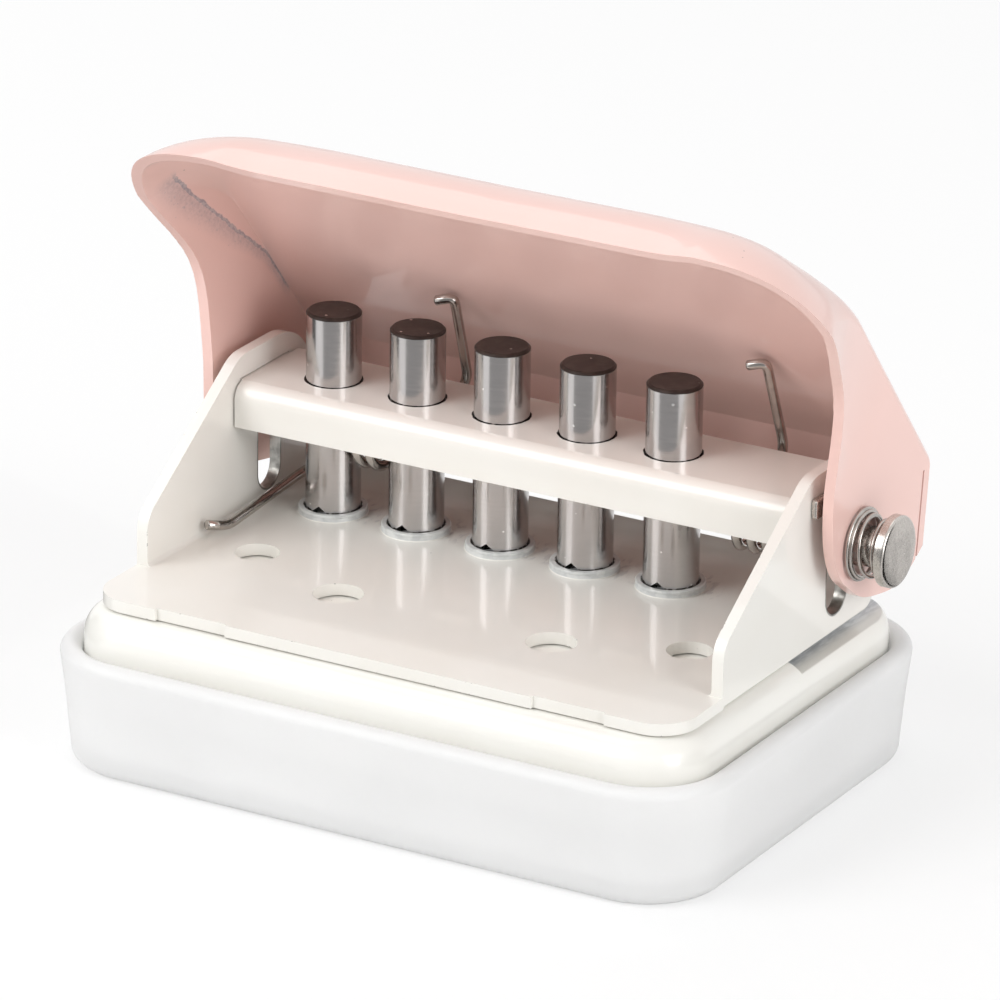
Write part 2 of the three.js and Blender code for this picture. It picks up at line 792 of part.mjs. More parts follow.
/** Prints the least distance between a spring's own strands, less the wire. */
function reportGap(name, points, diameter) {
  let least = Infinity;
  const travel = [0];
  for (let i = 1; i < points.length; i += 1) {
    travel.push(travel[i - 1] + points[i].distanceTo(points[i - 1]));
  }
  for (let i = 0; i < points.length; i += 1) {
    for (let j = i + 1; j < points.length; j += 1) {
      if (travel[j] - travel[i] > nearbyShare * diameter) {
        least = Math.min(least, points[i].distanceTo(points[j]) - diameter);
      }
    }
  }
  console.log(`${name}: least gap to itself ${least.toFixed(2)} mm`);
}

function makeConicalSpring() {
  const from = halfCoverEar + coneWire / 2 + coneSeatGap;
  const to = headInner - coneWire / 2 - coneSeatGap;
  const points = helix(from, to, coneLargeRadius, coneSmallRadius, 0, coneTurns);
  reportGap("conical_spring", points, coneWire);
  return piece("conical_spring", wire(points, coneWire), "springSteel");
}

/** The place on the open cover's underside where an upper leg rests, in y and z. */
function upperLegRest() {
  const under = coverTop - coverSheet - coilWire / 2 - legTopGap;
  const reach = -legTopReach;
  return {
    y: rowY + reach * Math.cos(coverOpen) + under * Math.sin(coverOpen),
    z: rodZ - reach * Math.sin(coverOpen) + under * Math.cos(coverOpen),
  };
}

/** The angle on a coil at which a straight leg leaves for a place given from the rod, in y and z. */
function leaveAngle(y, z, sense) {
  return Math.atan2(z, y) - sense * Math.acos(coilRadius / Math.hypot(y, z));
}

/** The angle at which an upper leg leaves its coil for the knee behind the guide bar. */
const upperLeave = leaveAngle(legKneeBack, plateBottom + legKneeRise - rodZ, 1);

/** The upper leg from its coil, over a knee behind the guide bar, to the cover and its hook. */
function upperLeg(kneeX, topX) {
  const rest = upperLegRest();
  const drop = new THREE.Vector2(-Math.sin(coverOpen), -Math.cos(coverOpen)).multiplyScalar(legHookDrop);
  return [
    new THREE.Vector3(kneeX, rowY + legKneeBack, plateBottom + legKneeRise),
    new THREE.Vector3(topX, rest.y, rest.z),
    new THREE.Vector3(topX - legHook, rest.y + drop.x, rest.z + drop.y),
  ];
}

/** The lower leg's last corners along the plate: the bend at the front and its hook. */
function lowerLeg(side) {
  const z = plateTop + coilWire / 2 + legTopGap;
  return [
    new THREE.Vector3(side * lowerLegSide, rowY - lowerLegFront, z),
    new THREE.Vector3(
      side * (lowerLegSide + lowerHookSide),
      rowY - lowerLegFront - lowerHookForward,
      z + lowerHookRise,
    ),
  ];
}

function makeLeftTorsionSpring() {
  const middle = (pinPlaces[0] + pinPlaces[1]) / 2;
  const lowerLeave = leaveAngle(lowerLegBack, -lowerLegDip, -1);
  const turns = leftCoilWholeTurns + (upperLeave + 2 * Math.PI - lowerLeave) / (2 * Math.PI);
  const reach = (turns * coilTightPitch) / 2;
  const coil = helix(middle - reach, middle + reach, coilRadius, coilRadius, lowerLeave, turns);
  const z = plateTop + coilWire / 2 + legTopGap;
  const behind = [
    new THREE.Vector3(middle - reach, rowY + lowerLegBack, rodZ - lowerLegDip),
    new THREE.Vector3(-lowerLegSide, rowY + lowerLegBack, z + lowerLegRise),
  ];
  const lower = eased([coil[0], ...behind, ...lowerLeg(-1)], coilWire * 2);
  const last = coil[coil.length - 1];
  const upper = eased([last, ...upperLeg(leftLegKnee, leftLegTop)], coilWire * 2);
  const points = [...lower.reverse().slice(0, -1), ...coil, ...upper.slice(1)];
  reportGap("torsion_spring_left", points, coilWire);
  return piece("torsion_spring_left", wire(points, coilWire), "springSteel");
}

function makeRightTorsionSpring() {
  const z = plateTop + coilWire / 2 + legTopGap;
  const lowerLeave = leaveAngle(-lowerLegFront, z - rodZ, -1);
  const turns = rightCoilWholeTurns + (upperLeave - lowerLeave) / (2 * Math.PI);
  const end = rightCoilStart + turns * coilPitch;
  const coil = helix(rightCoilStart, end, coilRadius, coilRadius, upperLeave, -turns);
  const upper = eased([coil[0], ...upperLeg(rightCoilStart, rightCoilStart)], coilWire * 2);
  const last = coil[coil.length - 1];
  const lower = eased([last, ...lowerLeg(1)], coilWire * 2);
  const points = [...upper.reverse().slice(0, -1), ...coil, ...lower.slice(1)];
  reportGap("torsion_spring_right", points, coilWire);
  return piece("torsion_spring_right", wire(points, coilWire), "springSteel");
}

// Cover: a pressed lever shell, drawn in its own frame about the rod: x right, y back, z up when level.

/** Places round the cover's outline at the top level, each with its outward direction. */
function coverOutline() {
  const front = -coverFront + coverLean;
  const corner = new THREE.CubicBezierCurve(
    new THREE.Vector2(halfCoverEar, -coverCornerBack),
    new THREE.Vector2(halfCoverEar, front - coverCornerPull),
    new THREE.Vector2(coverFrontFlat, front),
    new THREE.Vector2(0, front),
  );
  const half = [{ place: new THREE.Vector2(halfCoverEar, coverFront), away: new THREE.Vector2(1, 0) }];
  for (let i = 0; i < arcSteps; i += 1) {
    const y = THREE.MathUtils.lerp(0, -coverCornerBack, i / arcSteps);
    half.push({ place: new THREE.Vector2(halfCoverEar, y), away: new THREE.Vector2(1, 0) });
  }
  const samples = arcSteps * 2;
  for (let i = 0; i <= samples; i += 1) {
    const along = corner.getTangent(i / samples);
    half.push({ place: corner.getPoint(i / samples), away: new THREE.Vector2(-along.y, along.x) });
  }
  const mirrored = half.slice(0, -1).reverse().map(({ place, away }) => ({
    place: new THREE.Vector2(-place.x, place.y),
    away: new THREE.Vector2(-away.x, away.y),
  }));
  return [...half, ...mirrored];
}

/** A closed solid through rings of points, each ring the same way round, with flat ends. */
function loft(rings) {
  const count = rings[0].length;
  const places = rings.flatMap((ring) => ring.flatMap((point) => point.toArray()));
  const ends = [rings[0], rings[rings.length - 1]].map((ring) => {
    const sum = ring.reduce((total, point) => total.add(point), new THREE.Vector3());
    return sum.divideScalar(count);
  });
  ends.forEach((point) => places.push(...point.toArray()));
  const faces = [];
  const first = rings.length * count;
  const last = (rings.length - 1) * count;
  for (let k = 0; k < count; k += 1) {
    const next = (k + 1) % count;
    for (let i = 0; i + 1 < rings.length; i += 1) {
      const a = i * count;
      faces.push(a + k, a + next, a + count + k, a + next, a + count + next, a + count + k);
    }
    faces.push(first, next, k);
    faces.push(first + 1, last + k, last + next);
  }
  const geometry = new THREE.BufferGeometry();
  geometry.setAttribute("position", new THREE.BufferAttribute(new Float32Array(places), 3));
  geometry.setIndex(faces);
  return solid(geometry);
}

/** The direction down the sloped rear wall, in y and z. */
function rearSlope() {
  return new THREE.Vector2(coverRearFoot - coverRearTop, coverRearFootRise - coverTop).normalize();
}

/** The cover's mass as if it were solid: the sides lean out, the top edge is round and the rear slopes. */
function coverMass(inset) {
  const top = coverTop - inset;
  const foot = -coverTop;
  const ring = (dropShare, inwardShare, level) => coverOutline().map(({ place, away }) => {
    const ahead = -place.y;
    const nose = THREE.MathUtils.smoothstep(ahead, coverNoseStart, coverNoseEnd);
    const bend = ahead > 0 ? 2 * Math.abs(away.x * away.y) : 0;
    const round = THREE.MathUtils.lerp(coverEdgeRound, coverFrontRound, nose) + coverCornerRound * bend - inset;
    const z = level ?? top - dropShare * round;
    const lean = (coverTop - z) / (coverTop - coverRim);
    const along = THREE.MathUtils.clamp((ahead - coverFlareStart) / (coverFlareEnd - coverFlareStart), 0, 1);
    const flare = coverFlare * along * Math.sqrt(along);
    const out = lean * (flare * Math.sqrt(Math.abs(away.x)) + coverLean * Math.max(0, -away.y));
    const reach = out - inset - inwardShare * round;
    return new THREE.Vector3(place.x + away.x * reach, place.y + away.y * reach, z);
  });
  const rings = Array.from({ length: cornerSteps + 1 }, (_, i) => {
    const angle = (i / cornerSteps) * (Math.PI / 2);
    return ring(1 - Math.cos(angle), 1 - Math.sin(angle));
  });
  const wall = top - (coverEdgeRound + coverCornerRound - inset);
  for (let i = 1; i <= arcSteps; i += 1) {
    rings.push(ring(1, 0, THREE.MathUtils.lerp(wall - coverFrontRound, foot, i / arcSteps)));
  }
  const slope = rearSlope();
  const outward = new THREE.Vector2(-slope.y, slope.x);
  const rearTop = new THREE.Vector2(coverRearTop, coverTop).addScaledVector(outward, -inset);
  const onTop = rearTop.clone().addScaledVector(slope, (top - rearTop.y) / slope.y);
  const rearFoot = rearTop.clone().addScaledVector(slope, coverFront);
  const profile = roundedOutline([
    [-coverFront - coverFrontRound, rearFoot.y, 0],
    [rearFoot.x, rearFoot.y, 0],
    [onTop.x, top, coverEdgeRound - inset],
    [-coverFront - coverFrontRound, top, 0],
  ]);
  return loft(rings).intersect(sidePrism(profile, -trayWidth, trayWidth));
}

/** The side outline that trims the shell: front rim, ear slope, round ear foot and rear edge. */
function coverTrim() {
  const ear = coverEarShares.map(([ahead, rise]) => new THREE.Vector2(ahead * coverFront, rise * coverTop));
  const foot = new THREE.Vector2(coverRearFoot, coverRearFootRise);
  const edge = new THREE.SplineCurve([new THREE.Vector2(-coverRimEnd, coverRim), ...ear, foot]);
  const points = edge.getPoints(ear.length * 2);
  return new THREE.Shape([
    new THREE.Vector2(-coverFront - overrun, coverRim),
    ...points,
    new THREE.Vector2(coverRearFoot + overrun, coverRearFootRise + overrun),
    new THREE.Vector2(coverRearFoot + overrun, coverTop + overrun),
    new THREE.Vector2(-coverFront - overrun, coverTop + overrun),
  ]);
}

function makeCover() {
  const shell = cut(coverMass(0), coverMass(coverSheet));
  const trimmed = shell.intersect(sidePrism(coverTrim(), -trayWidth, trayWidth));
  const rightHole = crossBar(coverEarInner - overrun, halfCoverEar + overrun, 0, 0, neckRadius + neckFit);
  const leftHole = crossBar(-halfCoverEar - overrun, -coverEarInner + overrun, 0, 0, rodRadius + neckFit);
  const slope = rearSlope();
  const outward = new THREE.Vector2(-slope.y, slope.x);
  const seamTop = new THREE.Vector2(coverRearTop, coverTop).addScaledVector(slope, coverSeamStop);
  const near = seamTop.clone().addScaledVector(outward, -coverSheet);
  const deep = seamTop.clone().addScaledVector(outward, -coverSheet - coverSeam);
  const seamShape = new THREE.Shape([
    near,
    deep,
    deep.clone().addScaledVector(slope, coverTop),
    near.clone().addScaledVector(slope, coverTop),
  ]);
  const seams = [-1, 1].map((side) => {
    const inner = side * (coverEarInner - coverSeam);
    const outer = side * (halfCoverEar + overrun);
    return sidePrism(seamShape, Math.min(inner, outer), Math.max(inner, outer));
  });
  const mesh = piece("cover", geometryOf(cut(trimmed, rightHole, leftHole, ...seams)), "pinkEnamel");
  const hinge = new THREE.Group();
  hinge.position.set(0, rowY, rodZ);
  hinge.rotation.x = -coverOpen;
  hinge.add(mesh);
  return hinge;
}

// The whole punch

const punch = new THREE.Group();
punch.add(makeTray(), makeBase(), makeDie(), makeFrame(), makeGuideBar());
pinPlaces.forEach((_, index) => punch.add(makePin(index)));
punch.add(makeRod(), makeLockButton(), makeRetainingRing(), makeConicalSpring());
punch.add(makeLeftTorsionSpring(), makeRightTorsionSpring(), makeCover());

export default punch;
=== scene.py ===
"""Five-hole binding punch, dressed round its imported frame.

A folded ivory frame stands on a cast base. Five ground pins hang on a cross rod under a guide bar.
A sprung pink lever cover drives the rod, a lock button sits on the rod's end, and a frosted tray
takes the chips.
Sizes are millimetres in the part's own frame: X to the right, Y to the back, Z up.
"""

import logging
import math
from collections.abc import Sequence
from dataclasses import dataclass, field
from enum import Enum
from functools import reduce

import bmesh
import bpy
from mathutils import Matrix, Vector
from mathutils.geometry import intersect_line_line_2d


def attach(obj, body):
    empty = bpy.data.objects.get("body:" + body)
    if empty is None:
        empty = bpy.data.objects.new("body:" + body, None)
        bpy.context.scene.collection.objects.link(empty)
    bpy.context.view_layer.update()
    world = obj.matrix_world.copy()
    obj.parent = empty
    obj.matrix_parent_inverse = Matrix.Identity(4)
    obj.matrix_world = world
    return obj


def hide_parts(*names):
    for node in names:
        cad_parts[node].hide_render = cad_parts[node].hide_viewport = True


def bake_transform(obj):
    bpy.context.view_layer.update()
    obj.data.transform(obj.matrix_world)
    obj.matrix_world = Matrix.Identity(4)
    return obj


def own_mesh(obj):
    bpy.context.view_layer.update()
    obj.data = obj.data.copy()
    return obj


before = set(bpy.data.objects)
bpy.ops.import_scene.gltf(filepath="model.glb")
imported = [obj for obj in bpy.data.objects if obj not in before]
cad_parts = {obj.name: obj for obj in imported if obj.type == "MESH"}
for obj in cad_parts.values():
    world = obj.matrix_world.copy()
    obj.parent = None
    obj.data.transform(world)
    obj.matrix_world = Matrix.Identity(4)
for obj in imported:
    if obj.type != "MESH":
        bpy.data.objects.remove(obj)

LOG = logging.getLogger("binding_punch")
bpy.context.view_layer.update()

MM = 0.001
FULL_TURN = 2 * math.pi
QUARTER_TURN = math.pi / 2

# How far a cutting form goes past what it cuts, and the least step between two faces
OVERRUN = 1.0
CLEAR = 0.01
# The broken end of a wire: how much of its radius is left, and how long the end is
TIP_WIDTH = 0.72
TIP_LENGTH = 0.28
# Points closer than this are one, and faces that turn less than this are flat
WELD_WITHIN = 0.004
FLAT_WITHIN = 0.4

Flat = tuple[float, float]
Spot = tuple[float, float, float]
Colour = tuple[float, float, float]
Ring = list[Spot]


class Axis(Enum):
    """The direction along which an outline is pushed or a profile is turned."""

    ACROSS = "x"
    BACK = "y"
    UP = "z"


class Join(Enum):
    """How one form changes another."""

    ADD = "UNION"
    CUT = "DIFFERENCE"
    KEEP = "INTERSECT"


class Body(Enum):
    """The moving groups of the punch."""

    STAND = "body"
    TRAY = "tray"
    CARRIAGE = "carriage"
    LOCK = "lock"
    LEVER = "lever"


class Slot(Enum):
    """The finishes that the record names."""

    TRAY = "frosted_tray"
    CAST = "ivory_base"
    IVORY = "ivory_enamel"
    PINK = "pink_enamel"
    GROUND = "ground_steel"
    DIE = "die_steel"
    NICKEL = "nickel"
    SPRING = "spring_steel"


# Outlines and point lists


def mix(low: float, high: float, share: float) -> float:
    """The value that lies at a share of the way from low to high."""
    return low + (high - low) * share


def eased_share(value: float, low: float, high: float) -> float:
    """A smooth step from 0 at low to 1 at high.

    Args:
        value: Where it is read.
        low: Below this it is 0.
        high: Above this it is 1.

    Returns:
        A share from 0 to 1.
    """
    share = min(1.0, max(0.0, (value - low) / (high - low)))
    return share * share * (3 - 2 * share)


def arc(centre: Flat, radius: float, start: float, sweep: float, steps: int) -> list[Flat]:
    """Points along an arc.

    Args:
        centre: The arc's centre.
        radius: Its radius.
        start: The first angle, in radians.
        sweep: The signed angle that it covers.
        steps: How many chords it has.

    Returns:
        The points, both ends included.
    """
    angles = [start + sweep * k / steps for k in range(steps + 1)]
    return [(centre[0] + radius * math.cos(a), centre[1] + radius * math.sin(a)) for a in angles]


def rounded_outline(corners: Sequence[Spot], steps: int = 12) -> list[Flat]:
    """A closed outline whose corners are rounded.

    Args:
        corners: Each corner's two coordinates and its rounding, 0 for a sharp one.
        steps: Chords in each rounding.

    Returns:
        The outline's points in order.
    """
    outline: list[Flat] = []
    for i, (x, y, radius) in enumerate(corners):
        if not radius:
            outline.append((x, y))
            continue
        here = Vector((x, y))
        back = (Vector(corners[i - 1][:2]) - here).normalized()
        ahead = (Vector(corners[(i + 1) % len(corners)][:2]) - here).normalized()
        turn = back.angle(ahead)
        centre = here + (back + ahead).normalized() * (radius / math.sin(turn / 2))
        start = here + back * (radius / math.tan(turn / 2)) - centre
        end = here + ahead * (radius / math.tan(turn / 2)) - centre
        first = math.atan2(start.y, start.x)
        sweep = (math.atan2(end.y, end.x) - first + math.pi) % FULL_TURN - math.pi
        outline += arc((centre.x, centre.y), radius, first, sweep, steps)
    return outline


def rounded_rectangle(width: float, depth: float, corner: float, steps: int) -> list[Flat]:
    """A rectangle about the origin with four rounded corners."""
    x, y = width / 2, depth / 2
    return rounded_outline([(a, b, corner) for a, b in ((-x, -y), (x, -y), (x, y), (-x, y))], steps)


def smooth_path(points: Sequence[Sequence[float]], steps: int) -> list[tuple[float, ...]]:
    """A curve through every given point.

    Args:
        points: The points, of any dimension.
        steps: How many pieces each stretch gets.

    Returns:
        The curve's points, both ends included.
    """
    path: list[tuple[float, ...]] = []
    last = len(points) - 1
    for i in range(last):
        p0, p1, p2, p3 = (points[min(max(k, 0), last)] for k in (i - 1, i, i + 1, i + 2))
        for k in range(steps):
            t = k / steps
            weights = (
                (-t + 2 * t * t - t**3) / 2,
                (2 - 5 * t * t + 3 * t**3) / 2,
                (t + 4 * t * t - 3 * t**3) / 2,
                (t**3 - t * t) / 2,
            )
            near = zip(*(p0, p1, p2, p3))
            path.append(tuple(sum(w * v for w, v in zip(weights, values)) for values in near))
    path.append(tuple(points[last]))
    return path


def eased_corners(corners: Sequence[Vector], reach: float, steps: int = 10) -> list[Vector]:
    """A line of straight stretches whose inner corners are rounded.

    Args:
        corners: The corner points in order.
        reach: How far from a corner its rounding begins.
        steps: Chords in each rounding.

    Returns:
        The rounded line's points.
    """
    points = [corners[0].copy()]
    for before, here, after in zip(corners, corners[1:], corners[2:]):
        near = min(reach, (before - here).length * 0.45, (after - here).length * 0.45)
        start = here + (before - here).normalized() * near
        end = here + (after - here).normalized() * near
        for t in (k / steps for k in range(steps + 1)):
            points.append(start * (1 - t) ** 2 + here * (2 * t * (1 - t)) + end * t * t)
    points.append(corners[-1].copy())
    return points


# Forms in mesh code


def shown(name: str, data: bpy.types.ID) -> bpy.types.Object:
    """A new object in the scene with the given mesh, lamp or camera.

    Args:
        name: The object's name.
        data: What it shows.

    Returns:
        The object.
    """
    made = bpy.data.objects.new(name, data)
    bpy.context.scene.collection.objects.link(made)
    return made


def form(
    name: str, points: Sequence[Sequence[float]], faces: Sequence[Sequence[int]]
) -> bpy.types.Object:
    """A mesh object from millimetre points, with its faces turned outward.

    Args:
        name: The object's name.
        points: The vertices, in millimetres.
        faces: Vertex numbers of each face.

    Returns:
        The new object, linked to the scene.
    """
    mesh = bpy.data.meshes.new(name)
    mesh.from_pydata([[v * MM for v in point] for point in points], [], faces)
    work = bmesh.new()
    work.from_mesh(mesh)
    bmesh.ops.recalc_face_normals(work, faces=work.faces)
    work.to_mesh(mesh)
    work.free()
    mesh.validate()
    return shown(name, mesh)


def loft(name: str, rings: Sequence[Ring], closed: bool = False) -> bpy.types.Object:
    """A form through rings of points, each ring the same way round.

    Args:
        name: The object's name.
        rings: The rings, of equal length.
        closed: True if the last ring joins the first; otherwise both ends get a face.

    Returns:
        The form.
    """
    count = len(rings[0])
    points = [point for ring in rings for point in ring]
    faces = []
    for i in range(len(rings) if closed else len(rings) - 1):
        here, there = i * count, ((i + 1) % len(rings)) * count
        for k in range(count):
            after = (k + 1) % count
            faces.append((here + k, here + after, there + after, there + k))
    if not closed:
        faces.append(tuple(range(count)))
        faces.append(tuple(reversed(range((len(rings) - 1) * count, len(rings) * count))))
    return form(name, points, faces)


def untangled(ring: Ring, reach: int = 24) -> Ring:
    """Puts a short bend in place of each small loop that a ring makes when it is drawn in.

    Args:
        ring: The ring's points.
        reach: How many points a loop may hold at most.

    Returns:
        As many points as before, without loops.
    """
    points = [Vector(point) for point in ring]
    k = 0
    while k < len(points) - 3:
        for far in range(min(k + reach, len(points) - 2), k + 1, -1):
            ends = (points[k], points[k + 1], points[far], points[far + 1])
            crossing = intersect_line_line_2d(*(end.xy for end in ends))
            if crossing is None:
                continue
            low, high = points[k], points[far + 1]
            middle = Vector((*crossing, (low.z + high.z) / 2))
            for at in range(k + 1, far + 1):
                t = (at - k) / (far + 1 - k)
                points[at] = low * (1 - t) ** 2 + middle * 2 * t * (1 - t) + high * t * t
            k = far
            break
        k += 1
    return [tuple(point) for point in points]


def placed(axis: Axis, flat: Flat, along: float) -> Spot:
    """A point of an outline at one place along the axis that it is pushed along.

    Args:
        axis: The axis.
        flat: The point in the outline.
        along: How far along the axis it lies.

    Returns:
        The point in the part's frame.
    """
    if axis is Axis.ACROSS:
        return (along, flat[0], flat[1])
    if axis is Axis.BACK:
        return (flat[0], along, flat[1])
    return (flat[0], flat[1], along)


def prism(
    outline: Sequence[Flat], axis: Axis, low: float, high: float, name: str = "prism"
) -> bpy.types.Object:
    """An outline pushed along an axis."""
    return loft(name, [[placed(axis, flat, along) for flat in outline] for along in (low, high)])


def block(low: Spot, high: Spot) -> bpy.types.Object:
    """A box between two corners."""
    outline = [(low[0], low[1]), (high[0], low[1]), (high[0], high[1]), (low[0], high[1])]
    return prism(outline, Axis.UP, low[2], high[2], "block")


def turned(
    profile: Sequence[Flat],
    axis: Axis,
    centre: Flat,
    sides: int = 64,
    ring: bool = False,
    name: str = "turned",
) -> bpy.types.Object:
    """A profile turned about an axis.

    Args:
        profile: Radius and place along the axis. An open profile closes flat at both ends.
        axis: The axis to turn about.
        centre: Where the axis stands, in the two other directions.
        sides: How many faces go round.
        ring: True if the profile is a closed loop that doesn't touch the axis.
        name: The object's name.

    Returns:
        The turned form.
    """
    wheel = [(math.cos(a), math.sin(a)) for a in (FULL_TURN * k / sides for k in range(sides))]
    rings = [
        [placed(axis, (centre[0] + radius * x, centre[1] + radius * y), along) for x, y in wheel]
        for radius, along in profile
    ]
    return loft(name, rings, closed=ring)


def post(x: float, y: float, low: float, high: float, radius: float) -> bpy.types.Object:
    """An upright round bar."""
    return turned([(radius, low), (radius, high)], Axis.UP, (x, y))


def cross_bar(low: float, high: float, y: float, z: float, radius: float) -> bpy.types.Object:
    """A round bar that lies across."""
    return turned([(radius, low), (radius, high)], Axis.ACROSS, (y, z))


def tube(name: str, points: Sequence[Vector], radius: float, sides: int = 14) -> bpy.types.Object:
    """A round wire along a line, with lightly broken ends.

    Args:
        name: The object's name.
        points: The line that the wire follows.
        radius: Half the wire's thickness.
        sides: How many faces go round.

    Returns:
        The wire.
    """
    last = len(points) - 1
    angles = [FULL_TURN * k / sides for k in range(sides)]
    side: Vector | None = None
    rings: list[Ring] = []
    for i, spot in enumerate(points):
        along = (points[min(i + 1, last)] - points[max(i - 1, 0)]).normalized()
        side = along.orthogonal().normalized() if side is None else side
        side = (side - along * side.dot(along)).normalized()
        up = along.cross(side)
        wheel = [side * math.cos(a) + up * math.sin(a) for a in angles]
        rings.append([tuple(spot + spoke * radius) for spoke in wheel])
        if i in (0, last):
            end = (along if i else -along) * radius * TIP_LENGTH
            tip = [tuple(spot + spoke * radius * TIP_WIDTH + end) for spoke in wheel]
            rings.insert(len(rings) if i else 0, tip)
    return loft(name, rings)


def settle(piece: bpy.types.Object) -> bpy.types.Object:
    """Applies a piece's modifiers to its mesh.

    Args:
        piece: The form.

    Returns:
        The same form.
    """
    graph = bpy.context.evaluated_depsgraph_get()
    mesh = bpy.data.meshes.new_from_object(piece.evaluated_get(graph))
    piece.modifiers.clear()
    old, piece.data = piece.data, mesh
    bpy.data.meshes.remove(old)
    return piece


def worked(piece: bpy.types.Object, how: Join, *tools: bpy.types.Object) -> bpy.types.Object:
    """Adds, cuts or keeps other forms, which are used up.

    Args:
        piece: The form that is worked on.
        how: What the others do to it.
        tools: The other forms.

    Returns:
        The worked form.
    """
    for tool in tools:
        step = piece.modifiers.new("work", "BOOLEAN")
        step.operation = how.value
        step.solver = "EXACT"
        step.object = tool
    settle(piece)
    for tool in tools:
        mesh = tool.data
        bpy.data.objects.remove(tool)
        bpy.data.meshes.remove(mesh)
    return piece


def soft_edges(
    piece: bpy.types.Object, width: float, segments: int = 3, from_angle: float = 32
) -> bpy.types.Object:
    """Breaks every sharp edge of a form with a small rounding.

    Args:
        piece: The form.
        width: The rounding's width, in millimetres.
        segments: Faces across the rounding.
        from_angle: Edges turn sharper than this, in degrees, to be broken.

    Returns:
        The same form.
    """
    weld = piece.modifiers.new("weld", "WELD")
    weld.merge_threshold = WELD_WITHIN * MM
    settle(piece)
    work = bmesh.new()
    work.from_mesh(piece.data)
    bmesh.ops.dissolve_limit(
        work,
        angle_limit=math.radians(FLAT_WITHIN),
        use_dissolve_boundaries=False,
        verts=work.verts,
        edges=work.edges,
    )
    work.to_mesh(piece.data)
    work.free()
    bevel = piece.modifiers.new("edges", "BEVEL")
    bevel.width = width * MM
    bevel.segments = segments
    bevel.limit_method = "ANGLE"
    bevel.angle_limit = math.radians(from_angle)
    bevel.use_clamp_overlap = True
    bevel.miter_outer = "MITER_ARC"
    return settle(piece)


@dataclass
class Crew:
    """Gives a finished form its name, finish and body, and logs it with its finish's slot."""

    made: list[str] = field(default_factory=list)

    def hand_over(
        self,
        piece: bpy.types.Object,
        name: str,
        finish: "Finish",
        body: Body | None,
        nodes: Sequence[str] = (),
        sharp_from: float = 38,
    ) -> bpy.types.Object:
        """Dresses a form and puts it on its body.

        Args:
            piece: The form.
            name: The piece's own name.
            finish: Its finish.
            body: The body that it rides on, or None to leave it unattached.
            nodes: The frame's nodes that it stands for.
            sharp_from: Edges that turn by more than this, in degrees, stay crisp.

        Returns:
            The dressed piece.
        """
        piece.name = name
        piece.data.name = name
        piece.data.materials.clear()
        piece.data.materials.append(finish.material())
        piece.data.shade_smooth()
        piece.data.set_sharp_from_angle(angle=math.radians(sharp_from))
        weigh = piece.modifiers.new("shading", "WEIGHTED_NORMAL")
        weigh.keep_sharp = True
        weigh.weight = 50
        settle(piece)
        if body is not None:
            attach(piece, body.value)
        if nodes:
            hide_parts(*nodes)
        self.made.append(name)
        LOG.info("%s: %d faces, %s", name, len(piece.data.polygons), finish.slot.value)
        return piece


# Finishes


Socket = bpy.types.NodeSocket


@dataclass(frozen=True)
class Grain:
    """A cloudy pattern: features in a millimetre, two thresholds, finer layers and stretch."""

    per_mm: float
    low: float = 0.3
    high: float = 0.7
    detail: float = 2.0
    stretch: Spot = (1, 1, 1)


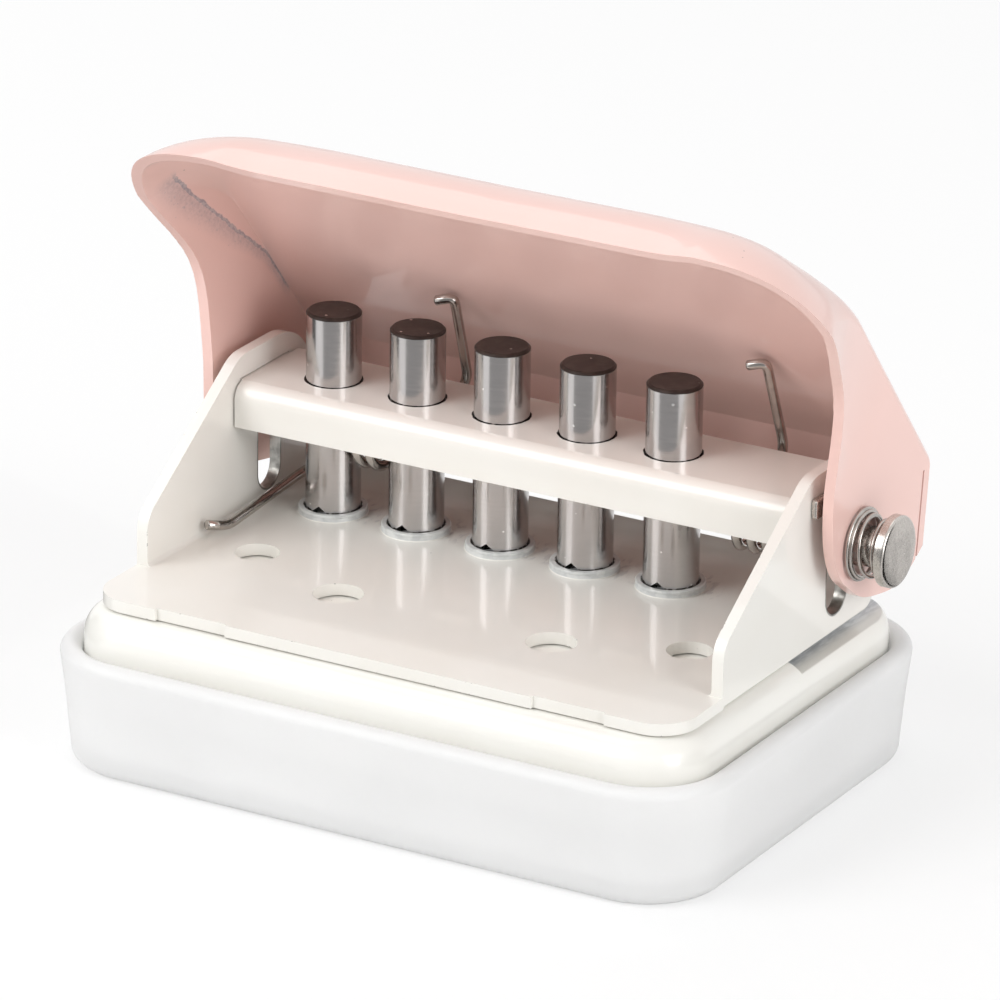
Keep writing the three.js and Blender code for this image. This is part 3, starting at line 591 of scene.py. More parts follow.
class Sheet:
    """A small helper that wires shader nodes in one material."""

    # How alike two directions are on a flat place and on a worn edge
    TURNED: Flat = (0.995, 0.9)
    EDGE_SAMPLES: int = 6

    def __init__(self, name: str) -> None:
        """Starts an empty material with an output and a main shader.

        Args:
            name: The material's name.
        """
        self.paper = bpy.data.materials.new(name)
        self.paper.use_nodes = True
        self.tree = self.paper.node_tree
        self.tree.nodes.clear()
        self.end = self.node("OutputMaterial")
        self.main = self.node("BsdfPrincipled")
        self.link(self.main.outputs[0], self.end.inputs["Surface"])
        self.place = self.node("TexCoord").outputs["Object"]

    def node(self, kind: str) -> bpy.types.Node:
        """A new shader node of a kind."""
        return self.tree.nodes.new(f"ShaderNode{kind}")

    def link(self, start: Socket, end: Socket) -> None:
        """Joins two sockets."""
        self.tree.links.new(start, end)

    def feed(self, name: str, value: Socket) -> None:
        """Joins a value to one of the main shader's sockets."""
        self.link(value, self.main.inputs[name])

    def sets(self, **values: float | Colour) -> None:
        """Sets values straight on the main shader's sockets.

        Args:
            values: Each value by its socket's name, with _ for spaces.
        """
        for name, value in values.items():
            socket = self.main.inputs[name.replace("_", " ")]
            socket.default_value = (*value, 1.0) if isinstance(value, tuple) else value

    def moved(self, what: str, value: Spot) -> Socket:
        """The object's own coordinates, scaled or shifted.

        Args:
            what: Scale or Location.
            value: How much, per axis.

        Returns:
            The changed coordinates.
        """
        node = self.node("Mapping")
        node.inputs[what].default_value = value
        self.link(self.place, node.inputs["Vector"])
        return node.outputs[0]

    def noise(self, grain: Grain) -> Socket:
        """A pattern's bare noise.

        Args:
            grain: The pattern.

        Returns:
            The noise, from 0 to 1.
        """
        node = self.node("TexNoise")
        node.inputs["Scale"].default_value = grain.per_mm / MM
        node.inputs["Detail"].default_value = grain.detail
        self.link(self.moved("Scale", grain.stretch), node.inputs["Vector"])
        return node.outputs["Fac"]

    def clouds(self, grain: Grain, to: Flat = (0.0, 1.0)) -> Socket:
        """A pattern's clouds between its two thresholds."""
        return self.step(self.noise(grain), grain.low, grain.high, to)

    def spots(self, per_mm: float, seed: float) -> Socket:
        """The distance to the nearest of many scattered points.

        Args:
            per_mm: How many points lie in a millimetre.
            seed: A shift that gives another scatter.

        Returns:
            The distance, as a share of the points' spacing.
        """
        node = self.node("TexVoronoi")
        node.inputs["Scale"].default_value = per_mm / MM
        node.inputs["Randomness"].default_value = 1.0
        self.link(self.moved("Location", (seed, seed, seed)), node.inputs["Vector"])
        return node.outputs["Distance"]

    def step(self, value: Socket, low: float, high: float, to: Flat = (0.0, 1.0)) -> Socket:
        """A smooth change of value between two thresholds.

        Args:
            value: The value that is read.
            low: Where the change begins.
            high: Where it ends.
            to: What it gives before and after.

        Returns:
            The changed value.
        """
        node = self.node("MapRange")
        node.interpolation_type = "SMOOTHSTEP"
        for name, number in zip(("From Min", "From Max", "To Min", "To Max"), (low, high, *to)):
            node.inputs[name].default_value = number
        self.link(value, node.inputs["Value"])
        return node.outputs[0]

    def until(self, value: Socket, low: float, high: float) -> Socket:
        """1 up to one threshold, falling to 0 at the next."""
        return self.step(value, low, high, (1.0, 0.0))

    def sum(self, what: str, *values: Socket | float) -> Socket:
        """One sum on values or numbers.

        Args:
            what: The sum's name.
            values: What it is done with.

        Returns:
            The result.
        """
        node = self.node("Math")
        node.operation = what
        for socket, value in zip(node.inputs, values):
            if isinstance(value, (int, float)):
                socket.default_value = value
            else:
                self.link(value, socket)
        return node.outputs[0]

    def times(self, first: Socket, *others: Socket | float) -> Socket:
        """The product of two or more values."""
        return reduce(lambda made, other: self.sum("MULTIPLY", made, other), others, first)

    def plus(self, first: Socket, *others: Socket | float) -> Socket:
        """Two or more values added up."""
        return reduce(lambda made, other: self.sum("ADD", made, other), others, first)

    def minus(self, first: Socket | float, second: Socket | float) -> Socket:
        """The first value less the second."""
        return self.sum("SUBTRACT", first, second)

    def part_of(self, axis: Axis, source: Socket | None = None) -> Socket:
        """One part of a vector.

        Args:
            axis: Which part.
            source: The vector, or None for the object's own coordinates in metres.

        Returns:
            The part.
        """
        node = self.node("SeparateXYZ")
        self.link(source or self.place, node.inputs[0])
        return node.outputs[axis.value.upper()]

    def dot(self, first: Socket, second: Socket | Spot) -> Socket:
        """The dot product of two directions.

        Args:
            first: The first direction.
            second: The second one, as a socket or as numbers.

        Returns:
            The product, from -1 to 1.
        """
        node = self.node("VectorMath")
        node.operation = "DOT_PRODUCT"
        self.link(first, node.inputs[0])
        if isinstance(second, tuple):
            node.inputs[1].default_value = second
        else:
            self.link(second, node.inputs[1])
        return node.outputs["Value"]

    def beyond(self, axis: Axis, zero: float) -> Socket:
        """How far a point lies beyond a place on one axis, in millimetres."""
        return self.sum("DIVIDE", self.minus(self.part_of(axis), zero * MM), MM)

    def length(self, first: Socket, second: Socket) -> Socket:
        """The length of a line from its two parts."""
        squares = (self.sum("POWER", part, 2.0) for part in (first, second))
        return self.sum("SQRT", self.plus(*squares))

    def from_pins(self) -> Socket:
        """The distance from the nearest pin's axis.

        Returns:
            The distance, in millimetres.
        """
        along = self.sum("DIVIDE", self.beyond(Axis.ACROSS, PLAN.first_pin), PLAN.pitch)
        number = self.sum("MAXIMUM", self.sum("ROUND", along), 0.0)
        number = self.sum("MINIMUM", number, PLAN.pins - 1.0)
        aside = self.times(self.minus(along, number), PLAN.pitch)
        return self.length(aside, self.beyond(Axis.BACK, PLAN.row_y))

    def inside(self, value: Socket, low: float, high: float, fade: float) -> Socket:
        """1 where a value lies between two limits, fading just outside them."""
        return self.times(self.step(value, low - fade, low), self.until(value, high, high + fade))

    def overlay(
        self,
        share: Socket,
        colour: Socket | Colour,
        roughness: float | None = None,
        metallic: float | None = None,
    ) -> None:
        """Lays another surface over what the main shader already has.

        Args:
            share: Where it lies, from 0 to 1.
            colour: Its colour.
            roughness: Its roughness, or None to keep what is there.
            metallic: How much of it is bare metal, or None to keep what is there.
        """
        under = self.main.inputs["Base Color"].links[0].from_socket
        self.feed("Base Color", self.paint(share, under, colour))
        for name, value in (("Roughness", roughness), ("Metallic", metallic)):
            socket = self.main.inputs[name]
            if value is not None and socket.is_linked:
                under = socket.links[0].from_socket
                self.link(self.plus(under, self.times(self.minus(value, under), share)), socket)
            elif value is not None:
                self.link(self.blended(share, socket.default_value, value), socket)
        if metallic:
            coat = self.main.inputs["Coat Weight"]
            self.link(self.blended(share, coat.default_value, 0.0), coat)

    def paint(self, share: Socket, under: Socket | Colour, over: Socket | Colour) -> Socket:
        """A colour mixed from two.

        Args:
            share: How much of the second colour there is.
            under: The first colour.
            over: The second colour.

        Returns:
            The mixed colour.
        """
        node = self.node("Mix")
        node.data_type = "RGBA"
        self.link(share, node.inputs["Factor"])
        for socket, value in zip((node.inputs[6], node.inputs[7]), (under, over)):
            if isinstance(value, tuple):
                socket.default_value = (*value, 1.0)
            else:
                self.link(value, socket)
        return node.outputs[2]

    def blended(self, share: Socket, under: float, over: float) -> Socket:
        """A number mixed from two by a share."""
        return self.step(share, 0.0, 1.0, (under, over))

    def bump(self, *layers: tuple[Socket, float]) -> None:
        """Lays bumps on the surface.

        Args:
            layers: A height from 0 to 1 and its real depth in millimetres, for each bump.
        """
        normal = None
        for height, depth in layers:
            node = self.node("Bump")
            node.inputs["Strength"].default_value = 1.0
            node.inputs["Distance"].default_value = depth * MM
            self.link(height, node.inputs["Height"])
            if normal is not None:
                self.link(normal, node.inputs["Normal"])
            normal = node.outputs[0]
        self.feed("Normal", normal)

    def worn_edge(self, radius: float) -> Socket:
        """Finds the edges of the piece.

        Args:
            radius: How far from an edge it still counts, in millimetres.

        Returns:
            A share that rises where the surface turns.
        """
        bevel = self.node("Bevel")
        bevel.samples = self.EDGE_SAMPLES
        bevel.inputs["Radius"].default_value = radius * MM
        flat = self.node("NewGeometry").outputs["Normal"]
        return self.step(self.dot(bevel.outputs[0], flat), *self.TURNED)


def dimmed(colour: Colour, share: float) -> Colour:
    """A colour at a share of its brightness."""
    return tuple(share * value for value in colour)


@dataclass(frozen=True)
class Finish:
    """A finish that is made once and then shared."""

    name: str
    slot: Slot

    def material(self) -> bpy.types.Material:
        """The finish's material, made at its first use.

        Returns:
            The material.
        """
        found = bpy.data.materials.get(self.name)
        if found is None:
            sheet = Sheet(self.name)
            self.compose(sheet)
            found = sheet.paper
        return found

    def compose(self, sheet: Sheet) -> None:
        """Wires the finish."""
        raise NotImplementedError


@dataclass(frozen=True)
class Enamel(Finish):
    """Glossy sprayed paint on sheet steel, with a little dust and edges chipped here and there."""

    colour: Colour = (0.86, 0.845, 0.8)
    shade: Colour = (0.845, 0.825, 0.775)
    roughness: float = 0.34
    coat: float = 0.55
    chips: float = 0.66
    chip_reach: float = 0.16
    chip_colour: Colour = (0.26, 0.25, 0.24)
    peel: float = 0.0012
    dust_depth: float = 0.008
    dust_size: Flat = (0.02, 0.034)
    dust_share: float = 0.5
    patches: Grain = Grain(0.08, 0.35, 0.65)
    dusty: Grain = Grain(0.22, 0.58, 0.62, 1.0)
    dulled: Grain = Grain(0.15)
    orange_peel: Grain = Grain(0.55, detail=0.0)

    def compose(self, sheet: Sheet) -> None:
        """Wires paint, dust, orange peel and chipped edges.

        Args:
            sheet: The material's sheet.
        """
        tone = sheet.paint(sheet.clouds(self.patches), self.colour, self.shade)
        dust = sheet.until(sheet.spots(0.3, 3.1), *self.dust_size)
        dust = sheet.times(dust, sheet.clouds(self.dusty))
        tone = sheet.paint(dust, tone, dimmed(self.shade, self.dust_share))
        flaked = sheet.clouds(Grain(1.3, self.chips, self.chips + 0.04, 3.0))
        chip = sheet.times(sheet.worn_edge(self.chip_reach), flaked)
        sheet.feed("Base Color", sheet.paint(chip, tone, self.chip_colour))
        gloss = (self.roughness - 0.02, self.roughness + 0.03)
        sheet.feed("Roughness", sheet.clouds(self.dulled, gloss))
        sheet.sets(
            Coat_Weight=self.coat, Coat_Roughness=0.045, Coat_IOR=1.5, Specular_IOR_Level=0.4
        )
        sheet.bump((sheet.noise(self.orange_peel), self.peel), (dust, self.dust_depth))


@dataclass(frozen=True)
class FrameEnamel(Enamel):
    """The frame's paint: bare slot walls, greyed collars and a painted reflection behind them."""

    slot_y: float = 10.55
    slot_low: float = 20.1
    slot_high: float = 26.1
    slot_wall: float = 2.22
    slot_depth: Flat = (30.9, 31.0)
    collar_reach: Flat = (4.0, 4.2)
    mouth_reach: Flat = (2.88, 3.02)
    reflection_reach: Flat = (4.2, 5.6)
    reflection_back: Flat = (-0.6, 6.5)
    rubbed: tuple[Colour, Colour] = ((0.5, 0.49, 0.46), (0.3, 0.29, 0.27))
    cool: tuple[Colour, Colour] = ((0.66, 0.68, 0.68), (0.5, 0.52, 0.53))
    dark: Colour = (0.12, 0.115, 0.11)
    reflection_grey: Colour = (0.55, 0.545, 0.54)
    scratched: Grain = Grain(1.2, 0.35, 0.7, 3.0)
    greyed: Grain = Grain(0.9, 0.4, 0.65, 3.0)
    ragged: Grain = Grain(1.4, 0.44, 0.5)
    reflection_wrinkles: Grain = Grain(1.5, 0.52, 0.6, 4.0, (1.0, 0.35, 1.0))

    def compose(self, sheet: Sheet) -> None:
        """Adds bare slot walls, greyed collars and a painted reflection to the paint.

        Args:
            sheet: The material's sheet.
        """
        Enamel.compose(self, sheet)
        self.bare_slots(sheet)
        self.collars_and_reflection(sheet)

    def bare_slots(self, sheet: Sheet) -> None:
        """Bares the metal on the walls of the ears' slots.

        Args:
            sheet: The material's sheet.
        """
        height = sheet.beyond(Axis.UP, 0.0)
        middle = sheet.sum("MAXIMUM", height, self.slot_low)
        middle = sheet.sum("MINIMUM", middle, self.slot_high)
        away = sheet.length(sheet.beyond(Axis.BACK, self.slot_y), sheet.minus(height, middle))
        side = sheet.sum("ABSOLUTE", sheet.beyond(Axis.ACROSS, 0.0))
        near = sheet.until(away, self.slot_wall, self.slot_wall + 0.1)
        wall = sheet.times(near, sheet.step(side, *self.slot_depth))
        sheet.overlay(wall, sheet.paint(sheet.clouds(self.scratched), *self.rubbed), 0.3, 0.9)

    def collars_and_reflection(self, sheet: Sheet) -> None:
        """Greys the collars, darkens their mouths and paints a reflection as grey wrinkles behind
        them.

        Args:
            sheet: The material's sheet.
        """
        radius, height = sheet.from_pins(), sheet.beyond(Axis.UP, PLAN.plate_top)
        near = sheet.times(sheet.step(height, 0.06, 0.16), sheet.until(radius, *self.collar_reach))
        cool = sheet.paint(sheet.clouds(self.greyed), *self.cool)
        sheet.overlay(sheet.times(near, 0.75), cool)
        mouth = sheet.times(sheet.until(radius, *self.mouth_reach), sheet.clouds(self.ragged))
        sheet.overlay(mouth, self.dark, 0.5)
        # Painted reflection: patchy grey wrinkles on the plate just behind each collar.
        behind = sheet.inside(sheet.beyond(Axis.BACK, PLAN.row_y), *self.reflection_back, 1.2)
        ring = sheet.times(behind, sheet.until(radius, *self.reflection_reach))
        on_plate = sheet.times(ring, sheet.until(height, 0.3, 0.5))
        sheet.overlay(sheet.times(on_plate, sheet.clouds(self.reflection_wrinkles), 0.55), self.reflection_grey)


@dataclass(frozen=True)
class BarEnamel(Enamel):
    """The guide bar's paint, with painted shade in its holes and chipped paint round their rims."""

    bore: Flat = (2.79, 2.84)
    bite: float = -0.22
    ragged: Grain = Grain(1.6)
    dark: Colour = (0.035, 0.032, 0.03)

    def compose(self, sheet: Sheet) -> None:
        """Paints near-black shade into the bores and chips the paint on their rims.

        Args:
            sheet: The material's sheet.
        """
        Enamel.compose(self, sheet)
        # Painted shade: the bore walls are laid nearly black, and the ragged edge chips the rims.
        rim = sheet.plus(sheet.from_pins(), sheet.times(sheet.noise(self.ragged), self.bite))
        sheet.overlay(sheet.until(rim, *self.bore), self.dark, 0.5)


@dataclass(frozen=True)
class CastEnamel(Enamel):
    """The base's paint, with a painted grey shadow on the step under the frame's ears."""

    step_y: float = 2.05
    step_levels: Flat = (14.2, 15.2)
    step_from: Flat = (29.0, 30.0)
    step_to: Flat = (30.8, 32.7)
    shadow_greys: tuple[Colour, Colour] = ((0.62, 0.65, 0.7), (0.34, 0.37, 0.42))
    shadow_streaks: Grain = Grain(2.2, 0.35, 0.65, 3.0, (1, 0.25, 1))

    def compose(self, sheet: Sheet) -> None:
        """Paints a streaked grey shadow on the strip under the paper's way in.

        Args:
            sheet: The material's sheet.
        """
        Enamel.compose(self, sheet)
        # Painted shadow: grey streaks on the recess floor under the frame's ears, where the paper
        # goes in.
        side = sheet.sum("ABSOLUTE", sheet.beyond(Axis.ACROSS, 0.0))
        strip = sheet.inside(sheet.beyond(Axis.UP, 0.0), *self.step_levels, 0.1)
        strip = sheet.times(strip, sheet.step(sheet.beyond(Axis.BACK, self.step_y), -0.1, 0.0))
        strip = sheet.times(strip, sheet.step(side, *self.step_from))
        share = sheet.times(strip, sheet.step(side, *self.step_to, (0.8, 0.0)))
        sheet.overlay(share, sheet.paint(sheet.clouds(self.shadow_streaks), *self.shadow_greys), 0.45)


@dataclass(frozen=True)
class CoverEnamel(Enamel):
    """The cover's paint, greyed on the inner side walls below the creases."""

    open: float = 0.0
    crease: float = 9.35
    climb: float = 0.128
    curl: float = 0.0035
    corner: float = 13.15
    front: float = -27.0
    rear: float = -3.5
    crease_greys: tuple[Colour, Colour] = ((0.2, 0.22, 0.27), (0.38, 0.37, 0.4))
    crease_mottle: Grain = Grain(3.0, 0.42, 0.6)
    wander: Grain = Grain(0.5)
    speckles: Grain = Grain(3.2, 0.42, 0.54, 3.0)
    frayed: Grain = Grain(2.0)

    def compose(self, sheet: Sheet) -> None:
        """Greys the inner side walls below the creases.

        Args:
            sheet: The material's sheet.
        """
        Enamel.compose(self, sheet)
        level = sheet.node("Mapping")
        level.vector_type = "TEXTURE"
        level.inputs["Location"].default_value = (0, PLAN.row_y * MM, PLAN.rod_z * MM)
        level.inputs["Rotation"].default_value = (-self.open, 0, 0)
        sheet.link(sheet.place, level.inputs["Vector"])
        across, along, up = (
            sheet.sum("DIVIDE", sheet.part_of(axis, level.outputs[0]), MM) for axis in Axis
        )
        outward = sheet.node("TexCoord").outputs["Normal"]
        inward = sheet.times(sheet.sum("SIGN", across), sheet.dot(outward, (-1.0, 0.0, 0.0)))
        wall = sheet.step(inward, 0.3, 0.5)
        back = sheet.minus(along, self.front)
        rise = sheet.times(back, sheet.plus(sheet.times(back, self.curl), self.climb))
        line = sheet.plus(rise, self.crease, sheet.times(sheet.noise(self.wander), 0.5))
        below = sheet.minus(sheet.sum("MINIMUM", line, self.corner), up)
        reach = sheet.step(along, self.front, self.rear, (3.4, 1.2))
        spread = sheet.sum("DIVIDE", below, reach)
        grit = sheet.plus(sheet.noise(self.speckles), sheet.times(spread, -0.3))
        grit = sheet.step(grit, self.speckles.low, self.speckles.high)
        speckle = sheet.times(grit, sheet.step(spread, 0.0, 0.08))
        veil = sheet.times(sheet.inside(spread, 0.05, 0.1, 0.9), 0.35, sheet.step(spread, 0.0, 0.1))
        ragged = sheet.plus(below, sheet.times(sheet.noise(self.frayed), 0.3))
        mark = sheet.times(sheet.inside(ragged, 0.05, 0.3, 0.12), 0.7)
        both = sheet.sum("MAXIMUM", sheet.times(speckle, 0.42), mark)
        both = sheet.sum("MAXIMUM", both, veil)
        ends = sheet.inside(along, self.front + 0.5, self.rear, 2.2)
        grey = sheet.paint(sheet.clouds(self.crease_mottle), *self.crease_greys)
        sheet.overlay(sheet.times(both, wall, ends), grey)


@dataclass(frozen=True)
class GroundSteel(Finish):
    """Ground pin steel: fine marks round the pin, bright nicks and an oxide-dark chamfered top."""

    colour: Colour = (0.55, 0.53, 0.525)
    dark: Colour = (0.024, 0.015, 0.012)
    burnt: Colour = (0.045, 0.032, 0.027)
    bright: Colour = (0.95, 0.95, 0.95)
    roughness: Flat = (0.17, 0.22)
    top: float = 38.4
    oxide: Flat = (0.34, 0.28)
    waver: float = 0.08
    nick_size: Flat = (0.07, 0.1)
    rounds: Grain = Grain(6.0, stretch=(0.08, 0.08, 1.0))
    marks: Grain = Grain(4.0, stretch=(0.1, 0.1, 1.0))
    cloudy: Grain = Grain(0.35, 0.42, 0.75, 2.0, (1, 1, 0.4))
    nicked: Grain = Grain(0.4, 0.44, 0.5, 1.0)
    wavering: Grain = Grain(1.2)
    scorched: Grain = Grain(1.0, 0.4, 0.7, 4.0)

    def compose(self, sheet: Sheet) -> None:
        """Wires marks, nicks and the dark top.

        Args:
            sheet: The material's sheet.
        """
        rounds = sheet.noise(self.rounds)
        marks, span = sheet.noise(self.marks), (self.marks.low, self.marks.high)
        tone = sheet.paint(sheet.step(marks, *span), dimmed(self.colour, 0.95), self.colour)
        cloud = sheet.clouds(self.cloudy, (0.0, 0.3))
        tone = sheet.paint(cloud, tone, dimmed(self.colour, 0.8))
        nick = sheet.until(sheet.spots(0.62, 1.7), *self.nick_size)
        nick = sheet.times(nick, sheet.clouds(self.nicked))
        tone = sheet.paint(nick, tone, self.bright)
        wave = sheet.times(sheet.noise(self.wavering), self.waver * MM)
        height = sheet.plus(sheet.part_of(Axis.UP), wave)
        oxide = sheet.step(height, *((self.top - down) * MM for down in self.oxide))
        oxide = sheet.times(oxide, sheet.minus(1.0, nick))
        burnt = sheet.paint(sheet.clouds(self.scorched), self.dark, self.burnt)
        sheet.feed("Base Color", sheet.paint(oxide, tone, burnt))
        sheet.feed("Metallic", sheet.blended(oxide, 1.0, 0.35))
        rough = sheet.step(marks, *span, self.roughness)
        sheet.feed("Roughness", sheet.plus(rough, sheet.times(oxide, 0.2)))
        sheet.bump((rounds, 0.002), (nick, 0.01))


@dataclass(frozen=True)
class Plated(Finish):
    """Bright plated or drawn metal with faint marks."""

    colour: Colour = (0.62, 0.59, 0.55)
    roughness: float = 0.2
    marks: Grain = Grain(4.0, detail=3.0)
    cloudy: Grain = Grain(0.6, 0.35, 0.7, 3.0)
    depth: float = 0.002

    def compose(self, sheet: Sheet) -> None:
        """Wires a slightly cloudy metal with fine marks.

        Args:
            sheet: The material's sheet.
        """
        marks, cloud = sheet.noise(self.marks), sheet.clouds(self.cloudy)
        sheet.feed("Base Color", sheet.paint(cloud, self.colour, dimmed(self.colour, 0.82)))
        sheet.sets(Metallic=1.0)
        gloss = (self.roughness - 0.04, self.roughness + 0.06)
        sheet.feed("Roughness", sheet.step(marks, self.marks.low, self.marks.high, gloss))
        sheet.bump((marks, self.depth))


@dataclass(frozen=True)
class Frosted(Finish):
    """Clear moulding with a frosted skin."""

    colour: Colour = (0.985, 0.985, 0.982)
    roughness: Flat = (0.45, 0.56)
    frost: Grain = Grain(2.0, detail=4.0)
    milky: Grain = Grain(0.06)
    depth: float = 0.003

    def compose(self, sheet: Sheet) -> None:
        """Wires a milky, rough see-through plastic.

        Args:
            sheet: The material's sheet.
        """
        frost, cloud = sheet.noise(self.frost), sheet.clouds(self.milky)
        sheet.feed("Base Color", sheet.paint(cloud, self.colour, dimmed(self.colour, 0.97)))
        sheet.feed("Roughness", sheet.step(frost, self.frost.low, self.frost.high, self.roughness))
        sheet.sets(Transmission_Weight=0.28, IOR=1.4)
        sheet.bump((frost, self.depth))


# The punch's levels that several sub-assemblies share


@dataclass(frozen=True)
class Layout:
    """Levels and places in the part's own frame, in millimetres."""

    tray_width: float = 72.6
    tray_depth: float = 52.4
    tray_corner: float = 9.0
    tray_rim: float = 12.3
    tray_wall: float = 2.2
    base_inset: float = 2.35
    base_foot: float = 7.45
    base_top: float = 16.05
    row_y: float = 10.05
    first_pin: float = -23.4
    pitch: float = 9.5
    pins: int = 5
    pin_radius: float = 2.75
    sheet: float = 1.2
    plate_top: float = 17.25
    collar_top: float = 18.0
    half_frame: float = 32.3
    bar_top: float = 31.17
    rod_z: float = 25.9
    rod_radius: float = 1.5
    half_cover: float = 34.9
    cover_sheet: float = 1.1
    head_from: float = 37.9
    head_to: float = 39.2

    def places(self) -> list[float]:
        """Where the pins stand across the punch."""
        return [self.first_pin + self.pitch * k for k in range(self.pins)]


PLAN = Layout()


IVORY = FrameEnamel("ivory_sheet_enamel", Slot.IVORY)
BAR_IVORY = BarEnamel("ivory_bar_enamel", Slot.IVORY)
CAST_IVORY = CastEnamel(
    "ivory_cast_enamel",
    Slot.CAST,
    colour=(0.87, 0.86, 0.815),
    shade=(0.855, 0.84, 0.79),
    roughness=0.3,
    chips=0.72,
)
PIN_STEEL = GroundSteel("ground_pin_steel", Slot.GROUND)
DIE_STEEL = Plated(
    "hardened_die_steel",
    Slot.DIE,
    colour=(0.3, 0.3, 0.31),
    roughness=0.4,
    marks=Grain(4.0, detail=3.0, stretch=(1, 0.06, 1)),
)
NICKEL = Plated("bright_nickel", Slot.NICKEL, colour=(0.6, 0.565, 0.53), roughness=0.24)
WIRE = Plated(
    "drawn_spring_wire",
    Slot.SPRING,
    colour=(0.52, 0.485, 0.455),
    roughness=0.16,
    marks=Grain(6.0, detail=3.0),
)
FROSTED = Frosted("frosted_clear_plastic", Slot.TRAY)


@dataclass
class ChipTray:
    """The frosted tray: drafted walls, a round rim and a ledge under the base."""

    draft: float = 1.0
    bottom_round: float = 1.6
    rim_round: float = 1.05
    floor: float = 1.5
    floor_round: float = 1.0
    ledge: float = 1.0
    foot_flat: float = 1.5
    levels: tuple[float, ...] = (4.5, 7.5)
    corner_steps: int = 16
    round_steps: int = 8
    floor_steps: int = 6
    sharp_from: float = 50

    def ring(self, inset: float, z: float) -> Ring:
        """One level of the tray's outline.

        Args:
            inset: How far in from the tray's widest outline.
            z: Its height.

        Returns:
            The level's points.
        """
        width, depth = PLAN.tray_width - 2 * inset, PLAN.tray_depth - 2 * inset
        outline = rounded_rectangle(width, depth, PLAN.tray_corner - inset, self.corner_steps)
        return [(x, y, z) for x, y in outline]

    def section(self) -> list[Flat]:
        """The wall's section, from under the floor up the outside, over the rim and down inside.

        Returns:
            Inset and height of each level.
        """
        rim, wall, low = PLAN.tray_rim, PLAN.tray_wall, self.bottom_round
        foot, shoulder, turn = self.draft, rim - self.rim_round, -QUARTER_TURN
        path = [(foot + low + self.foot_flat, 0.0)]
        path += arc((foot + low, low), low, turn, turn, self.round_steps)
        lean = self.draft / shoulder
        path += [(foot - lean * (z - low), z) for z in self.levels]
        path += arc((self.rim_round, shoulder), self.rim_round, math.pi, turn, self.round_steps)
        inner = wall - self.rim_round
        path += arc((wall - inner, rim - inner), inner, -turn, turn, self.round_steps)
        path += [(wall, PLAN.base_foot), (wall + self.ledge, PLAN.base_foot)]
        corner = (wall + self.ledge + self.floor_round, self.floor + self.floor_round)
        path += arc(corner, self.floor_round, math.pi, -turn, self.floor_steps)
        return path

    def build(self, crew: Crew) -> None:
        """Makes and dresses the tray.

        Args:
            crew: Who dresses the piece.
        """
        moulding = loft("tray", [self.ring(inset, z) for inset, z in self.section()])
        nodes = ["chip_tray"]
        crew.hand_over(moulding, "chip_tray_moulding", FROSTED, Body.TRAY, nodes, self.sharp_from)


@dataclass
class CastBase:
    """The cast base and its die: a rounded crown, a lower rear part for the paper and a chute."""

    seat_gap: float = 0.14
    edge_round: float = 2.8
    side_rise: float = 3.0
    crown_steps: int = 14
    corner_steps: int = 20
    wall: float = 1.6
    roof: float = 3.9
    gap: float = 1.1
    stop: float = 8.0
    die_thickness: float = 1.2
    die_width: float = 58.0
    die_half_depth: float = 6.6
    fit: float = 0.1
    chute_reach: float = 4.2
    chute_margin: float = 4.6
    edge: float = 0.22
    die_edge: float = 0.08

    def ring(self, inset: float, z: float) -> Ring:
        """One level of the base's outline.

        Args:
            inset: How far in from the base's widest outline.
            z: Its height.

        Returns:
            The level's points.
        """
        inset += PLAN.base_inset
        width, depth = PLAN.tray_width - 2 * inset, PLAN.tray_depth - 2 * inset
        outline = rounded_rectangle(width, depth, PLAN.tray_corner - inset, self.corner_steps)
        return [(x, y, z) for x, y in outline]

    def die_block(self, low: float, high: float, fit: float = 0.0) -> bpy.types.Object:
        """The die's block, or with a fit the seat that takes it.

        Args:
            low: Its lower face.
            high: Its upper face.
            fit: How much larger it is on each side.

        Returns:
            The block.
        """
        centre, y = PLAN.first_pin + 2 * PLAN.pitch, PLAN.row_y
        half, reach = self.die_width / 2 + fit, self.die_half_depth + fit
        return block((centre - half, y - reach, low), (centre + half, y + reach, high))

    def build(self, crew: Crew) -> None:
        """Makes and dresses the base and the die plate.

        Args:
            crew: Who dresses the pieces.
        """
        y, foot, top = PLAN.row_y, PLAN.base_foot, PLAN.base_top - self.seat_gap
        crown = [(0.0, foot), (0.0, foot + self.side_rise)]
        for k in range(self.crown_steps + 1):
            angle = QUARTER_TURN * k / self.crown_steps
            fall = self.edge_round * (1 - math.sin(angle))
            crown.append((self.edge_round * (1 - math.cos(angle)), top - fall))
        body = loft("base", [self.ring(inset, z) for inset, z in crown])
        levels = (foot - OVERRUN, top - self.roof)
        hollow = loft("hollow", [self.ring(self.wall, z) for z in levels])
        wide, floor = PLAN.tray_width, PLAN.base_top - self.gap
        recess = block((-wide, y - self.stop, floor), (wide, wide, top + OVERRUN))
        seat_z = floor - self.die_thickness
        seat = self.die_block(seat_z, top, self.fit)
        first, last = PLAN.places()[0] - self.chute_margin, PLAN.places()[-1] + self.chute_margin
        reach = self.chute_reach
        chute = block((first, y - reach, top - self.roof - OVERRUN), (last, y + reach, top))
        worked(body, Join.CUT, hollow, recess, seat, chute)
        soft_edges(body, self.edge)
        crew.hand_over(body, "cast_base", CAST_IVORY, Body.STAND, ["base_shell"])
        die = self.die_block(seat_z, seat_z + self.die_thickness)
        radius = PLAN.pin_radius + self.fit
        worked(die, Join.CUT, *(post(x, y, seat_z - OVERRUN, top, radius) for x in PLAN.places()))
        soft_edges(die, self.die_edge, 2)
        crew.hand_over(die, "hardened_die", DIE_STEEL, Body.STAND, ["die_plate"])


